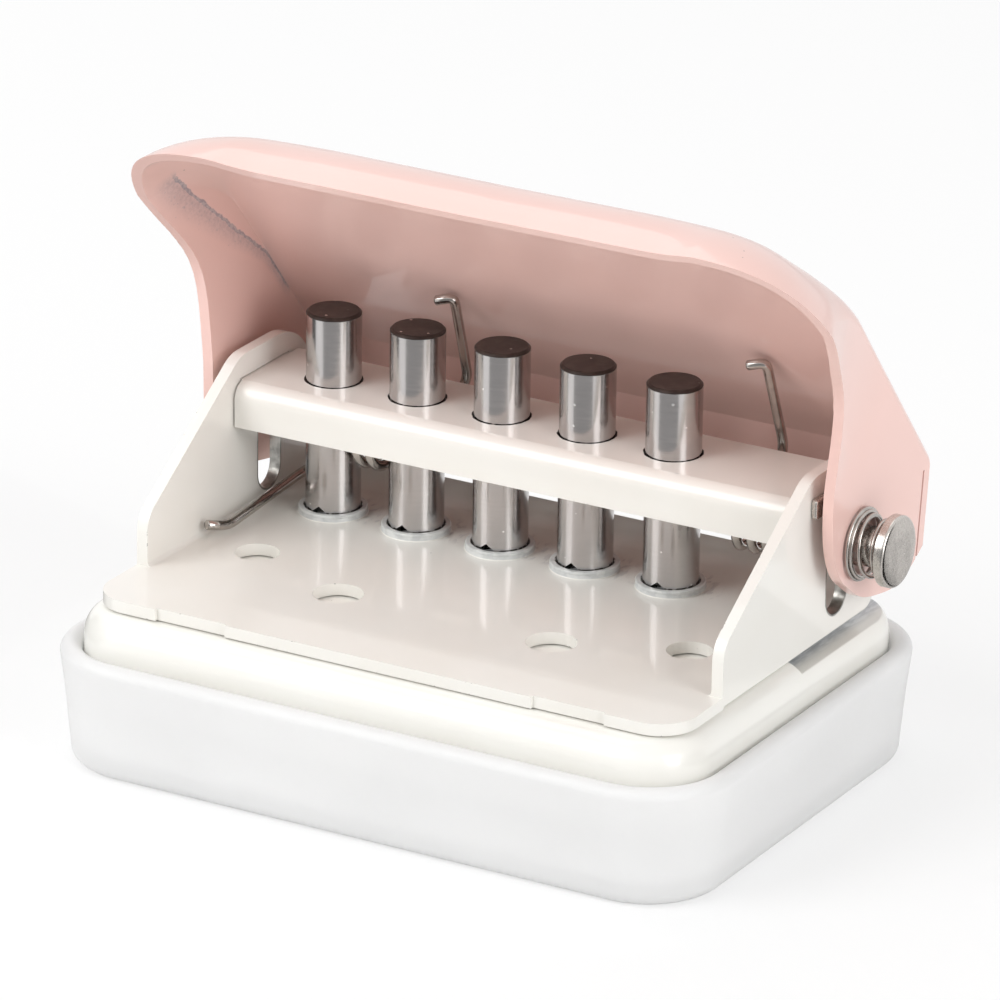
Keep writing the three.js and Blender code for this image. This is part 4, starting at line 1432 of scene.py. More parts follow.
@dataclass
class FoldedFrame:
    """The folded sheet: plate, ears, drawn collars, curled rear lip, plain holes and edge marks."""

    bend: float = 0.5
    outer_bend: float = 0.5
    plate_front: float = 31.2
    plate_corner: float = 4.0
    mark_offset: float = 20.7
    mark_width: float = 7.8
    mark_depth: float = 0.35
    collar_wall: float = 0.62
    collar_lip: float = 0.14
    collar_fillet: float = 0.14
    collar_root: float = 0.5
    waist_share: float = 0.55
    waist: tuple[Flat, ...] = ((0.0, 0.06), (0.06, 0.0), (0.02, -0.07))
    hole_fit: float = 0.08
    hole_clear: float = 0.05
    apron_overlap: float = 0.25
    plain_holes: tuple[Spot, ...] = ((24.0, 13.4, 2.25), (11.8, 18.45, 2.5))
    ear_front: float = 22.2
    ear_rear: float = 8.7
    ear_front_height: float = 6.2
    ear_top_front: float = 5.0
    ear_top: float = 17.55
    ear_rounds: tuple[float, ...] = (3.0, 6.5, 4.5, 3.0)
    slot_width: float = 4.2
    slot_setback: float = 0.5
    slot_foot: float = 1.95
    slot_head: float = 12.15
    slot_round: float = 0.999
    lip_start: float = 6.6
    lip_radius: float = 2.4
    lip_angle: float = math.radians(62)
    lip_straight: float = 0.9
    lip_gap: float = 0.6
    tenon_front: float = 5.0
    tenon_rear: float = 4.2
    tenon_fit: float = 0.1
    edge: float = 0.2
    ear_steps: int = 16
    slot_steps: int = 20
    lip_steps: int = 12
    collar_steps: tuple[int, int] = (5, 6)
    collar_sides: int = 72

    def ear(self) -> list[Flat]:
        """The ear's side outline.

        Returns:
            The outline's points.
        """
        y, z, top = PLAN.row_y, PLAN.base_top, PLAN.base_top + self.ear_top
        foot, rear_top, peak, front = self.ear_rounds
        corners = [
            (y - self.ear_front, z, 0),
            (y + self.ear_rear, z, foot),
            (y + self.ear_rear, top, rear_top),
            (y - self.ear_top_front, top, peak),
            (y - self.ear_front, z + self.ear_front_height, front),
        ]
        return rounded_outline(corners, self.ear_steps)

    def fold(self) -> list[Flat]:
        """The U-shaped section of plate and ears.

        Returns:
            The section's points.
        """
        half, inner = PLAN.half_frame, PLAN.half_frame - PLAN.sheet
        low, high = PLAN.base_top, PLAN.base_top + self.ear_top + OVERRUN
        corners = [
            (half, low, self.outer_bend),
            (half, high, 0),
            (inner, high, 0),
            (inner, PLAN.plate_top, self.bend),
        ]
        mirrored = [(-x, z, bend) for x, z, bend in reversed(corners)]
        return rounded_outline([mirrored[-1], *corners, *mirrored[:-1]])

    def apron(self) -> list[Flat]:
        """The plate in front of the ears, seen from above, with a tongue between the bends.

        Returns:
            The outline's points.
        """
        half, front = PLAN.half_frame, PLAN.row_y - self.plate_front
        rear = PLAN.row_y - self.ear_front + self.apron_overlap
        tongue = half - PLAN.sheet - self.bend
        corners = [
            (half, front, self.plate_corner),
            (half, rear, 0),
            (tongue, rear, 0),
            (tongue, rear + PLAN.sheet, 0),
        ]
        mirrored = [(-x, y, corner) for x, y, corner in reversed(corners)]
        return rounded_outline([mirrored[-1], *corners, *mirrored[:-1]])

    def lip(self) -> list[Flat]:
        """The curled rear lip's section.

        Returns:
            The section's points.
        """
        start, turn, radius = PLAN.row_y + self.lip_start, self.lip_angle, self.lip_radius
        centre = (start, PLAN.plate_top + radius)
        outer = arc(centre, radius + PLAN.sheet, -QUARTER_TURN, turn, self.lip_steps)
        inner = arc(centre, radius, -QUARTER_TURN + turn, -turn, self.lip_steps)
        run = (math.cos(turn) * self.lip_straight, math.sin(turn) * self.lip_straight)
        tip = [(y + run[0], z + run[1]) for y, z in (outer[-1], inner[0])]
        root = start - PLAN.sheet
        return [(root, PLAN.base_top), *outer, *tip, *inner, (root, PLAN.plate_top)]

    def collar(self, x: float) -> bpy.types.Object:
        """One drawn collar with its fillet on the plate.

        Args:
            x: Where its pin stands.

        Returns:
            The collar.
        """
        inner = PLAN.pin_radius + self.hole_fit
        outer, turn = inner + self.collar_wall, QUARTER_TURN
        plate, top = PLAN.plate_top, PLAN.collar_top
        fillet, lip = self.collar_fillet, self.collar_lip
        waist, (rim_steps, fillet_steps) = mix(plate, top, self.waist_share), self.collar_steps
        profile = [(inner, plate - self.collar_root)]
        profile += arc((inner + lip, top - lip), lip, math.pi, -turn, rim_steps)
        profile += arc((outer - lip, top - lip), lip, turn, -turn, rim_steps)
        profile += [(outer - inward, waist + rise) for inward, rise in self.waist]
        profile += arc((outer + fillet, plate + fillet), fillet, math.pi, turn, fillet_steps)
        profile += [(outer + fillet, plate - self.collar_root)]
        return turned(profile, Axis.UP, (x, PLAN.row_y), self.collar_sides, True, "collar")

    def openings(self) -> list[bpy.types.Object]:
        """What is cut out of the sheet: pin holes, plain holes, edge marks, slots and tenon holes.

        Returns:
            The cutting forms.
        """
        y, low, half = PLAN.row_y, PLAN.base_top - OVERRUN, PLAN.half_frame + OVERRUN
        high, front = PLAN.collar_top + OVERRUN, y - self.plate_front
        radius = PLAN.pin_radius + self.hole_fit + self.hole_clear
        tools = [post(x, y, low, high, radius) for x in PLAN.places()]
        for side in (-1, 1):
            tools += [post(side * x, y - ahead, low, high, r) for x, ahead, r in self.plain_holes]
            left = side * self.mark_offset - self.mark_width / 2
            right = side * self.mark_offset + self.mark_width / 2
            back = front + self.mark_depth
            tools.append(block((left, front - OVERRUN, low), (right, back, high)))
        radius, centre = self.slot_width / 2, y + self.slot_setback
        foot, head = (PLAN.base_top + level for level in (self.slot_foot, self.slot_head))
        slot = [
            (centre + side * radius, level, radius * self.slot_round)
            for side, level in ((-1, foot), (1, foot), (1, head), (-1, head))
        ]
        outline = rounded_outline(slot, self.slot_steps)
        tools.append(prism(outline, Axis.ACROSS, -half, half))
        bottom, top = PLAN.bar_top - PLAN.sheet - self.tenon_fit, PLAN.bar_top + self.tenon_fit
        tenon = ((-half, y - self.tenon_front, bottom), (half, y + self.tenon_rear, top))
        return [*tools, block(*tenon)]

    def build(self, crew: Crew) -> None:
        """Makes and dresses the frame.

        Args:
            crew: Who dresses the piece.
        """
        y, low, half = PLAN.row_y, PLAN.base_top, PLAN.half_frame
        inner = half - PLAN.sheet
        sheet = prism(self.fold(), Axis.BACK, y - self.ear_front, y + self.ear_rear, "frame")
        worked(sheet, Join.KEEP, prism(self.ear(), Axis.ACROSS, -half - OVERRUN, half + OVERRUN))
        rear_floor = block(
            (-inner + self.bend, y + self.lip_start, low - OVERRUN),
            (inner - self.bend, y + self.ear_rear + OVERRUN, PLAN.plate_top + OVERRUN),
        )
        worked(sheet, Join.CUT, rear_floor)
        apron = prism(self.apron(), Axis.UP, low, PLAN.plate_top)
        reach = inner - self.lip_gap
        worked(sheet, Join.ADD, apron, prism(self.lip(), Axis.ACROSS, -reach, reach))
        worked(sheet, Join.CUT, *self.openings())
        worked(sheet, Join.ADD, *(self.collar(x) for x in PLAN.places()))
        soft_edges(sheet, self.edge)
        crew.hand_over(sheet, "folded_frame", IVORY, Body.STAND, ["frame"])


@dataclass
class GuideBar:
    """The folded guide bar with its staked tenons."""

    front: float = 6.4
    rear: float = 5.6
    drop: float = 4.5
    bend: float = 1.7
    hole_fit: float = 0.14
    end_gap: float = 0.2
    tenon_front: float = 4.9
    tenon_rear: float = 4.1
    tenon_step: float = 0.001
    stake: float = 0.7
    stake_overlap: float = 0.4
    edge: float = 0.16
    stake_edge: float = 0.25

    def build(self, crew: Crew) -> None:
        """Makes and dresses the bar and its staked ends.

        Args:
            crew: Who dresses the pieces.
        """
        y, top, sheet = PLAN.row_y, PLAN.bar_top, PLAN.sheet
        front, rear, foot, under = y - self.front, y + self.rear, top - self.drop, top - sheet
        corners = [
            (front, foot, 0),
            (front + sheet, foot, 0),
            (front + sheet, under, self.bend - sheet),
            (rear, under, 0),
            (rear, top, 0),
            (front, top, self.bend),
        ]
        half, inner = PLAN.half_frame, PLAN.half_frame - sheet - self.end_gap
        bar = prism(rounded_outline(corners), Axis.ACROSS, -inner, inner, "bar")
        reach, start, end = half + self.stake / 2, y - self.tenon_front, y + self.tenon_rear
        worked(bar, Join.ADD, block((-reach, start, under), (reach, end, top - self.tenon_step)))
        radius = PLAN.pin_radius + self.hole_fit
        worked(bar, Join.CUT, *(post(x, y, foot, top + OVERRUN, radius) for x in PLAN.places()))
        soft_edges(bar, self.edge)
        crew.hand_over(bar, "folded_guide_bar", BAR_IVORY, Body.STAND, ["guide_bar"])
        over = self.stake_overlap
        low, high, near, far = under - over, top + over, start - over, end + over
        places = ((near, low), (far, low), (far, high), (near, high))
        head = rounded_outline([(a, b, over) for a, b in places])
        for side, label in ((-1, "left"), (1, "right")):
            ends = sorted((side * half, side * (half + self.stake)))
            stake = soft_edges(prism(head, Axis.ACROSS, *ends, "stake"), self.stake_edge, 4)
            crew.hand_over(stake, f"staked_tenon_{label}", NICKEL, Body.STAND)


@dataclass
class PinRow:
    """The five punch pins."""

    tip: float = 16.5
    top: float = 38.4
    chamfer: float = 0.24
    notch: float = 2.1
    bore_fit: float = 0.08
    face_share: float = 0.5
    edge: float = 0.05
    sides: int = 72
    sharp_from: float = 30

    def build(self, crew: Crew) -> None:
        """Makes and dresses each pin.

        Args:
            crew: Who dresses the pieces.
        """
        y, radius, shoulder = PLAN.row_y, PLAN.pin_radius, self.top - self.chamfer
        profile = [(radius, self.tip), (radius, shoulder)]
        profile += [(radius - self.chamfer, self.top), (radius * self.face_share, self.top)]
        side, reach, bore = radius + CLEAR, radius + OVERRUN, PLAN.rod_radius + self.bore_fit
        for number, x in enumerate(PLAN.places(), 1):
            pin = turned(profile, Axis.UP, (x, y), self.sides, name="pin")
            mouth = [
                (x - side, self.tip - CLEAR),
                (x - side, self.tip - OVERRUN),
                (x + side, self.tip - OVERRUN),
                (x + side, self.tip - CLEAR),
                (x, self.tip + self.notch),
            ]
            notch = prism(mouth, Axis.BACK, y - reach, y + reach)
            worked(pin, Join.CUT, notch, cross_bar(x - reach, x + reach, y, PLAN.rod_z, bore))
            soft_edges(pin, self.edge, 2, self.sharp_from)
            name, nodes = f"ground_pin_{number}", [f"punch_pin_{number}"]
            crew.hand_over(pin, name, PIN_STEEL, Body.CARRIAGE, nodes, self.sharp_from)


@dataclass
class CrossRod:
    """The rod with its lock button and retaining ring."""

    groove: float = 0.35
    ring_gap: float = 0.25
    ring_thickness: float = 0.8
    ring_radius: float = 3.0
    ring_mouth: float = 2.2
    ring_fit: float = 0.05
    tail: float = 0.9
    neck_radius: float = 2.0
    neck_from: float = 34.0
    head_radius: float = 3.55
    head_round: float = 0.35
    head_chamfer: float = 0.25
    cap_wall: float = 0.9
    cap_fit: float = 0.03
    plug_bore: float = 0.2
    plug_radius: float = 0.25
    plug_depth: float = 0.5
    face_share: float = 0.5
    ring_edge: float = 0.1
    rod_sides: int = 48
    head_sides: int = 96
    plug_sides: int = 24

    def rod(self, seat: float, ring_end: float) -> bpy.types.Object:
        """The rod with the groove for its ring.

        Args:
            seat: Where the groove begins, next to the cover.
            ring_end: Where the ring ends.

        Returns:
            The rod.
        """
        radius, core = PLAN.rod_radius, PLAN.rod_radius - self.groove
        tail = ring_end - 2 * self.ring_fit - self.tail
        profile = [
            (core * self.face_share, tail),
            (core, tail),
            (radius, tail + self.groove),
            (radius, ring_end - self.ring_fit),
            (core, ring_end - self.ring_fit),
            (core, seat + self.ring_fit),
            (radius, seat + self.ring_fit),
            (radius, PLAN.head_to - self.cap_wall),
        ]
        centre = (PLAN.row_y, PLAN.rod_z)
        return turned(profile, Axis.ACROSS, centre, self.rod_sides, name="rod")

    def button(self) -> bpy.types.Object:
        """The round lock button with its hollow neck.

        Returns:
            The button.
        """
        centre, under, face = (PLAN.row_y, PLAN.rod_z), PLAN.head_from, PLAN.head_to
        head, edge, chamfer = self.head_radius, self.head_round, self.head_chamfer
        inner, deep = PLAN.rod_radius + self.cap_fit, face - self.cap_wall + self.cap_fit
        neck = self.neck_radius
        profile = [(inner, self.neck_from), (neck, self.neck_from), (neck, under)]
        profile += [(head - chamfer, under), (head, under + chamfer)]
        profile += arc((head - edge, face - edge), edge, 0.0, QUARTER_TURN, 8)
        middle = head * self.face_share
        profile += [(middle, face), (self.plug_bore, face), (self.plug_bore, deep), (inner, deep)]
        button = turned(profile, Axis.ACROSS, centre, self.head_sides, True, "button")
        plug = [(self.plug_radius, face - self.plug_depth), (self.plug_radius, face)]
        return worked(button, Join.ADD, turned(plug, Axis.ACROSS, centre, self.plug_sides))

    def build(self, crew: Crew) -> None:
        """Makes and dresses rod, button and ring.

        Args:
            crew: Who dresses the pieces.
        """
        y, z = PLAN.row_y, PLAN.rod_z
        seat = -PLAN.half_cover - self.ring_gap
        end = seat - self.ring_thickness
        rod = self.rod(seat, end)
        crew.hand_over(rod, "steel_cross_rod", NICKEL, Body.LOCK, ["cross_rod"])
        crew.hand_over(self.button(), "nickel_lock_button", NICKEL, Body.LOCK, ["lock_button"])
        disc = cross_bar(end, seat, y, z, self.ring_radius)
        core = PLAN.rod_radius - self.groove + self.ring_fit
        bore = cross_bar(end - OVERRUN, seat + OVERRUN, y, z, core)
        half, low = self.ring_mouth / 2, z - self.ring_radius - OVERRUN
        mouth = block((end - OVERRUN, y - half, low), (seat + OVERRUN, y + half, z))
        ring = soft_edges(worked(disc, Join.CUT, bore, mouth), self.ring_edge, 2)
        crew.hand_over(ring, "snap_ring", WIRE, Body.LOCK, ["retaining_ring"])


@dataclass
class Springs:
    """The conical lock spring and the two torsion springs that lift the cover."""

    cone_wire: float = 0.45
    cone_large: float = 3.55
    cone_small: float = 2.65
    cone_turns: float = 3.6
    cone_close: float = 0.5
    cone_seat: float = 0.2
    cone_ease: float = 0.5
    cone_keep: float = 0.48
    seat_gap: float = 0.05
    wire: float = 1.0
    coil_radius: float = 2.6
    right_pitch: float = 1.6
    left_pitch: float = 1.46
    right_start: float = 22.4
    knee_back: float = 8.2
    knee_rise: float = 4.25
    top_reach: float = 8.8
    top_gap: float = 0.3
    left_knee: float = -12.8
    left_top: float = -12.1
    hook: float = 1.7
    hook_drop: float = 0.7
    low_side: float = 29.1
    low_front: float = 10.6
    low_back: float = 4.3
    low_dip: float = 0.9
    low_rise: float = 1.05
    hook_forward: float = 2.2
    hook_rise: float = 0.6
    hook_side: float = 1.0
    steps_per_turn: int = 36
    leg_stiff: float = 0.35
    foot_points: int = 12
    cone_sides: int = 12
    sharp_from: float = 60

    def helix(
        self, x: Flat, radius: Flat, start: float, turns: float, even: bool = True
    ) -> list[Vector]:
        """Points of a coil about the rod.

        Args:
            x: Where it starts and ends across the punch.
            radius: Its radius at the start and at the end.
            start: The first angle.
            turns: How many turns, signed.
            even: True for a constant pitch, False for closed end turns.

        Returns:
            The coil's points.
        """
        steps = round(abs(turns) * self.steps_per_turn)
        points = []
        for share in (k / steps for k in range(steps + 1)):
            angle, size = start + FULL_TURN * turns * share, mix(*radius, share)
            across = mix(*x, share if even else self.packed(share))
            y, z = PLAN.row_y + size * math.cos(angle), PLAN.rod_z + size * math.sin(angle)
            points.append(Vector((across, y, z)))
        return points

    def packed(self, share: float) -> float:
        """Where the conical coil is along its axis: close turns first, then an open run.

        Args:
            share: How much of the coil has been wound.

        Returns:
            The share of the way along the axis.
        """
        if share < self.cone_close:
            return self.cone_seat * share / self.cone_close
        rest = (share - self.cone_close) / (1 - self.cone_close)
        wave = math.sin(FULL_TURN * rest) / FULL_TURN * self.cone_ease
        return self.cone_seat + (1 - self.cone_seat) * (rest - wave)

    def leave_angle(self, y: float, z: float, sense: float) -> float:
        """The angle at which a leg leaves its coil for a place given from the rod."""
        return math.atan2(z, y) - sense * math.acos(self.coil_radius / math.hypot(y, z))

    def upper(self, knee_x: float, top_x: float) -> list[Vector]:
        """The upper leg's corners: knee, rest under the cover and hook.

        Args:
            knee_x: Where its knee is across the punch.
            top_x: Where its top is.

        Returns:
            The three corners.
        """
        under = LeverCover.top - PLAN.cover_sheet - self.wire / 2 - self.top_gap
        sine, cosine = math.sin(LeverCover.open), math.cos(LeverCover.open)
        y = PLAN.row_y - self.top_reach * cosine + under * sine
        z = PLAN.rod_z + self.top_reach * sine + under * cosine
        drop = self.hook_drop
        return [
            Vector((knee_x, PLAN.row_y + self.knee_back, PLAN.rod_z + self.knee_rise)),
            Vector((top_x, y, z)),
            Vector((top_x - self.hook, y - drop * sine, z - drop * cosine)),
        ]

    def lower(self, side: float) -> list[Vector]:
        """The lower leg's last corners on the plate: the bend at the front and its hook.

        Args:
            side: -1 for the left leg, 1 for the right one.

        Returns:
            The two corners.
        """
        x, y, z = self.low_side, PLAN.row_y - self.low_front, self.on_plate()
        hook = (side * (x + self.hook_side), y - self.hook_forward, z + self.hook_rise)
        return [Vector((side * x, y, z)), Vector(hook)]

    def on_plate(self) -> float:
        """The height of a leg that lies on the plate."""
        return PLAN.plate_top + self.wire / 2 + self.top_gap

    def cone(self, crew: Crew) -> None:
        """Makes the conical spring between the cover and the lock button; on the punch it flattens
        as the button is pressed.

        Args:
            crew: Who dresses the piece.
        """
        low = PLAN.half_cover + self.cone_wire / 2 + self.seat_gap
        high = PLAN.head_from - self.cone_wire / 2 - self.seat_gap
        size = (self.cone_large, self.cone_small)
        points = self.helix((low, high), size, 0.0, self.cone_turns, even=False)
        spring = tube("cone", points, self.cone_wire / 2, self.cone_sides)
        nodes = ["conical_spring"]
        crew.hand_over(spring, "cone_spring", WIRE, Body.CARRIAGE, nodes, self.sharp_from)
        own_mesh(spring)

    def torsion(
        self, crew: Crew, label: str, coil: list[Vector], up: list[Vector], down: list[Vector]
    ) -> None:
        """Makes one torsion spring: a coil on the rod, a leg to the cover and one to the plate.

        Args:
            crew: Who dresses the pieces.
            label: left or right.
            coil: The coil's points, from its lower leg's end to its upper leg's end.
            up: The upper leg's corners, from the coil.
            down: The lower leg's corners, from the coil.
        """
        up, down = (eased_corners(corners, self.wire * 2) for corners in (up, down))
        nodes, sharp = [f"torsion_spring_{label}"], self.sharp_from
        wind, upper, lower = (tube("wire", line, self.wire / 2) for line in (coil, up, down))
        crew.hand_over(wind, f"{label}_spring_coil", WIRE, Body.CARRIAGE, nodes, sharp)
        crew.hand_over(upper, f"{label}_spring_upper_leg", WIRE, None, nodes, sharp)
        crew.hand_over(lower, f"{label}_spring_lower_leg", WIRE, None, nodes, sharp)
        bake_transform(upper)
        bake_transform(lower)

    def build(self, crew: Crew) -> None:
        """Makes and dresses all springs.

        Args:
            crew: Who dresses the pieces.
        """
        self.cone(crew)
        leave_up = self.leave_angle(self.knee_back, self.knee_rise, 1)
        size = (self.coil_radius, self.coil_radius)
        behind = (PLAN.row_y + self.low_back, PLAN.rod_z - self.low_dip)
        leave_down = self.leave_angle(self.low_back, -self.low_dip, -1)
        turns = 1 + (leave_up + FULL_TURN - leave_down) / FULL_TURN
        middle, reach = PLAN.places()[0] + PLAN.pitch / 2, turns * self.left_pitch / 2
        coil = self.helix((middle - reach, middle + reach), size, leave_down, turns)
        turn = Vector((-self.low_side, behind[0], self.on_plate() + self.low_rise))
        down = [coil[0], Vector((middle - reach, *behind)), turn, *self.lower(-1)]
        up = [coil[-1], *self.upper(self.left_knee, self.left_top)]
        self.torsion(crew, "left", coil, up, down)
        leave_down = self.leave_angle(-self.low_front, self.on_plate() - PLAN.rod_z, -1)
        turns = 4 + (leave_up - leave_down) / FULL_TURN
        first, last = self.right_start, self.right_start + turns * self.right_pitch
        coil = self.helix((first, last), size, leave_up, -turns)
        up, down = [coil[0], *self.upper(first, first)], [coil[-1], *self.lower(1)]
        self.torsion(crew, "right", coil, up, down)


@dataclass
class LeverCover:
    """The pressed cover, drawn level about the rod and then opened."""

    open: float = math.radians(50)
    flare: float = 3.2
    flare_ease: float = 0.16
    flare_from: float = 8.0
    flare_to: float = 27.0
    flare_curve: float = 1.5
    front: float = 37.0
    lean: float = 2.4
    front_flat: float = 27.6
    corner_back: float = 21.2
    corner_pull: float = 2.5
    corner_round: float = 1.2
    top: float = 14.3
    edge_round: float = 1.2
    front_round: float = 6.6
    nose_from: float = 17.6
    nose_to: float = 30.5
    rim: float = 6.5
    rim_end: float = 21.6
    rear_top: float = 5.8
    rear_foot: float = 12.3
    rear_foot_rise: float = 7.3
    seam: float = 0.3
    seam_stop: float = 1.8
    neck_hole: float = 2.1
    rod_hole: float = 1.6
    side_from: float = 12.0
    side_steps: int = 24
    corner_steps: int = 56
    edge_steps: int = 14
    wall_steps: int = 20
    least_round: float = 0.2
    trim_steps: int = 8
    edge: float = 0.3
    sharp_from: float = 42
    ear_edge: tuple[Flat, ...] = (
        (-18.7, 6.3), (-16.7, 5.8), (-14.9, 4.95), (-13.2, 3.75), (-11.6, 2.4), (-10.0, 1.0),
        (-8.5, -0.3), (-7.1, -1.5), (-5.7, -2.6), (-4.1, -3.55), (-2.2, -4.25), (-0.4, -4.45),
        (1.3, -4.15), (4.8, -3.15), (8.1, -0.8), (10.5, 1.6), (11.8, 4.6),
    )

    def outline(self) -> list[tuple[Flat, Flat]]:
        """The top level's outline, from the rear right round the front.

        Returns:
            Each place with its outward direction.
        """
        front, wide = -self.front + self.lean, PLAN.half_cover
        corner = ((wide, -self.corner_back), (wide, front - self.corner_pull))
        p = [Vector(spot) for spot in (*corner, (self.front_flat, front), (0.0, front))]
        half: list[tuple[Flat, Flat]] = [((wide, self.front), (1.0, 0.0))]
        for k in range(self.side_steps):
            y = mix(self.side_from, -self.corner_back, k / self.side_steps)
            half.append(((wide, y), (1.0, 0.0)))
        for t in (k / self.corner_steps for k in range(self.corner_steps + 1)):
            s = 1 - t
            spot = p[0] * s**3 + p[1] * 3 * t * s**2 + p[2] * 3 * t * t * s + p[3] * t**3
            run = (p[1] - p[0]) * s**2 + (p[2] - p[1]) * 2 * t * s + (p[3] - p[2]) * t * t
            run.normalize()
            half.append(((spot.x, spot.y), (-run.y, run.x)))
        mirrored = [((-x, y), (-ax, ay)) for (x, y), (ax, ay) in reversed(half[:-1])]
        return half + mirrored

    def flare_at(self, ahead: float, out: Flat) -> float:
        """How far the skin's lower edge leans out past its top.

        Args:
            ahead: How far in front of the rod it is.
            out: The outward direction there.

        Returns:
            The lean, in millimetres.
        """
        along = (ahead - self.flare_from) / (self.flare_to - self.flare_from)
        flare = self.flare * min(1.0, max(0.0, along)) ** self.flare_curve
        sideways = math.sqrt(abs(out[0])) * eased_share(abs(out[0]), 0.0, self.flare_ease)
        return flare * sideways + self.lean * max(0.0, -out[1])

    def ring(self, inset: float, drop: float, inward: float, level: float | None = None) -> Ring:
        """One ring of the cover's skin.

        Args:
            inset: 0 for the outer skin, the sheet's thickness for the inner one.
            drop: How far down the edge rounding it lies, as a share.
            inward: How far in from the wall, as a share of the rounding.
            level: A fixed height instead, for the wall.

        Returns:
            The ring's points in the cover's own frame.
        """
        points = []
        for (x, y), (out_x, out_y) in self.outline():
            nose = eased_share(-y, self.nose_from, self.nose_to)
            bend = 2 * abs(out_x * out_y) if y < 0 else 0.0
            rounding = mix(self.edge_round, self.front_round, nose)
            rounding += self.corner_round * bend - inset
            z = self.top - inset - drop * rounding if level is None else level
            lean = (self.top - z) / (self.top - self.rim)
            reach = lean * self.flare_at(-y, (out_x, out_y)) - inset - inward * rounding
            points.append((x + out_x * reach, y + out_y * reach, z))
        return untangled(points)

    def rear_slope(self) -> tuple[Vector, Vector]:
        """The direction down the rear slope and the one that points away from it."""
        run = Vector((self.rear_foot - self.rear_top, self.rear_foot_rise - self.top)).normalized()
        return run, Vector((-run.y, run.x))

    def mass(self, inset: float) -> bpy.types.Object:
        """The cover as if it were solid, drawn in by an inset.

        Args:
            inset: 0 for the outer skin, the sheet's thickness for the inner one.

        Returns:
            The solid form.
        """
        angles = [QUARTER_TURN * k / self.edge_steps for k in range(self.edge_steps + 1)]
        rings = [self.ring(inset, 1 - math.cos(a), 1 - math.sin(a)) for a in angles]
        wall = self.top - self.edge_round - self.corner_round - self.front_round
        for k in range(1, self.wall_steps + 1):
            rings.append(self.ring(inset, 1.0, 0.0, mix(wall, -self.top, k / self.wall_steps)))
        slope, outward = self.rear_slope()
        top, far = self.top - inset, -2 * self.front
        rear = Vector((self.rear_top, self.top)) - outward * inset
        on_top = rear + slope * ((top - rear.y) / slope.y)
        foot = rear + slope * self.front
        edge = (on_top.x, top, max(self.edge_round - inset, self.least_round))
        profile = rounded_outline([(far, foot.y, 0), (foot.x, foot.y, 0), edge, (far, top, 0)])
        wide = PLAN.tray_width
        return worked(loft("mass", rings), Join.KEEP, prism(profile, Axis.ACROSS, -wide, wide))

    def trim(self) -> list[Flat]:
        """The side outline that trims the shell.

        Returns:
            The outline's points.
        """
        foot = (self.rear_foot, self.rear_foot_rise)
        edge = smooth_path([(-self.rim_end, self.rim), *self.ear_edge, foot], self.trim_steps)
        far, high, ahead = foot[0] + OVERRUN, self.top + OVERRUN, -self.front - 2 * OVERRUN
        return [(ahead, self.rim), *edge, (far, foot[1] + OVERRUN), (far, high), (ahead, high)]

    def seams(self) -> list[bpy.types.Object]:
        """The open seams between the ears and the folded-in rear flange.

        Returns:
            The cutting forms.
        """
        slope, outward = self.rear_slope()
        start = Vector((self.rear_top, self.top)) + slope * self.seam_stop
        near = start - outward * PLAN.cover_sheet
        deep = start - outward * (PLAN.cover_sheet + self.seam)
        run = slope * self.top
        outline = [tuple(spot) for spot in (near, deep, deep + run, near + run)]
        inner = PLAN.half_cover - PLAN.cover_sheet - self.seam
        sides = ((-PLAN.half_cover - OVERRUN, -inner), (inner, PLAN.half_cover + OVERRUN))
        return [prism(outline, Axis.ACROSS, *ends) for ends in sides]

    def opened(self) -> Matrix:
        """The move from the level cover to its place on the rod."""
        place = Vector((0, PLAN.row_y, PLAN.rod_z)) * MM
        return Matrix.Translation(place) @ Matrix.Rotation(-self.open, 4, "X")

    def build(self, crew: Crew) -> None:
        """Makes and dresses the cover.

        Args:
            crew: Who dresses the piece.
        """
        wide, outer = PLAN.tray_width, PLAN.half_cover + OVERRUN
        shell = worked(self.mass(0.0), Join.CUT, self.mass(PLAN.cover_sheet))
        worked(shell, Join.KEEP, prism(self.trim(), Axis.ACROSS, -wide, wide))
        inner = PLAN.half_cover - PLAN.cover_sheet - OVERRUN
        neck = cross_bar(inner, outer, 0, 0, self.neck_hole)
        bore = cross_bar(-outer, -inner, 0, 0, self.rod_hole)
        worked(shell, Join.CUT, neck, bore, *self.seams())
        soft_edges(shell, self.edge, 3, 40)
        shell.data.transform(self.opened())
        finish = CoverEnamel(
            "pink_cover_enamel",
            Slot.PINK,
            colour=(0.85, 0.575, 0.52),
            shade=(0.84, 0.562, 0.505),
            roughness=0.3,
            chips=0.74,
            open=self.open,
        )
        nodes = ["cover"]
        crew.hand_over(shell, "lever_cover_shell", finish, Body.LEVER, nodes, self.sharp_from)


@dataclass(frozen=True)
class Lamp:
    """A soft lamp: its name, place and size in metres, and power in watts."""

    name: str
    place: Spot
    size: Flat
    watts: float


@dataclass(frozen=True)
class Screen:
    """A grey screen: its name, its sector in degrees from the front to the right, and its tone."""

    name: str
    sector: Flat
    tone: float


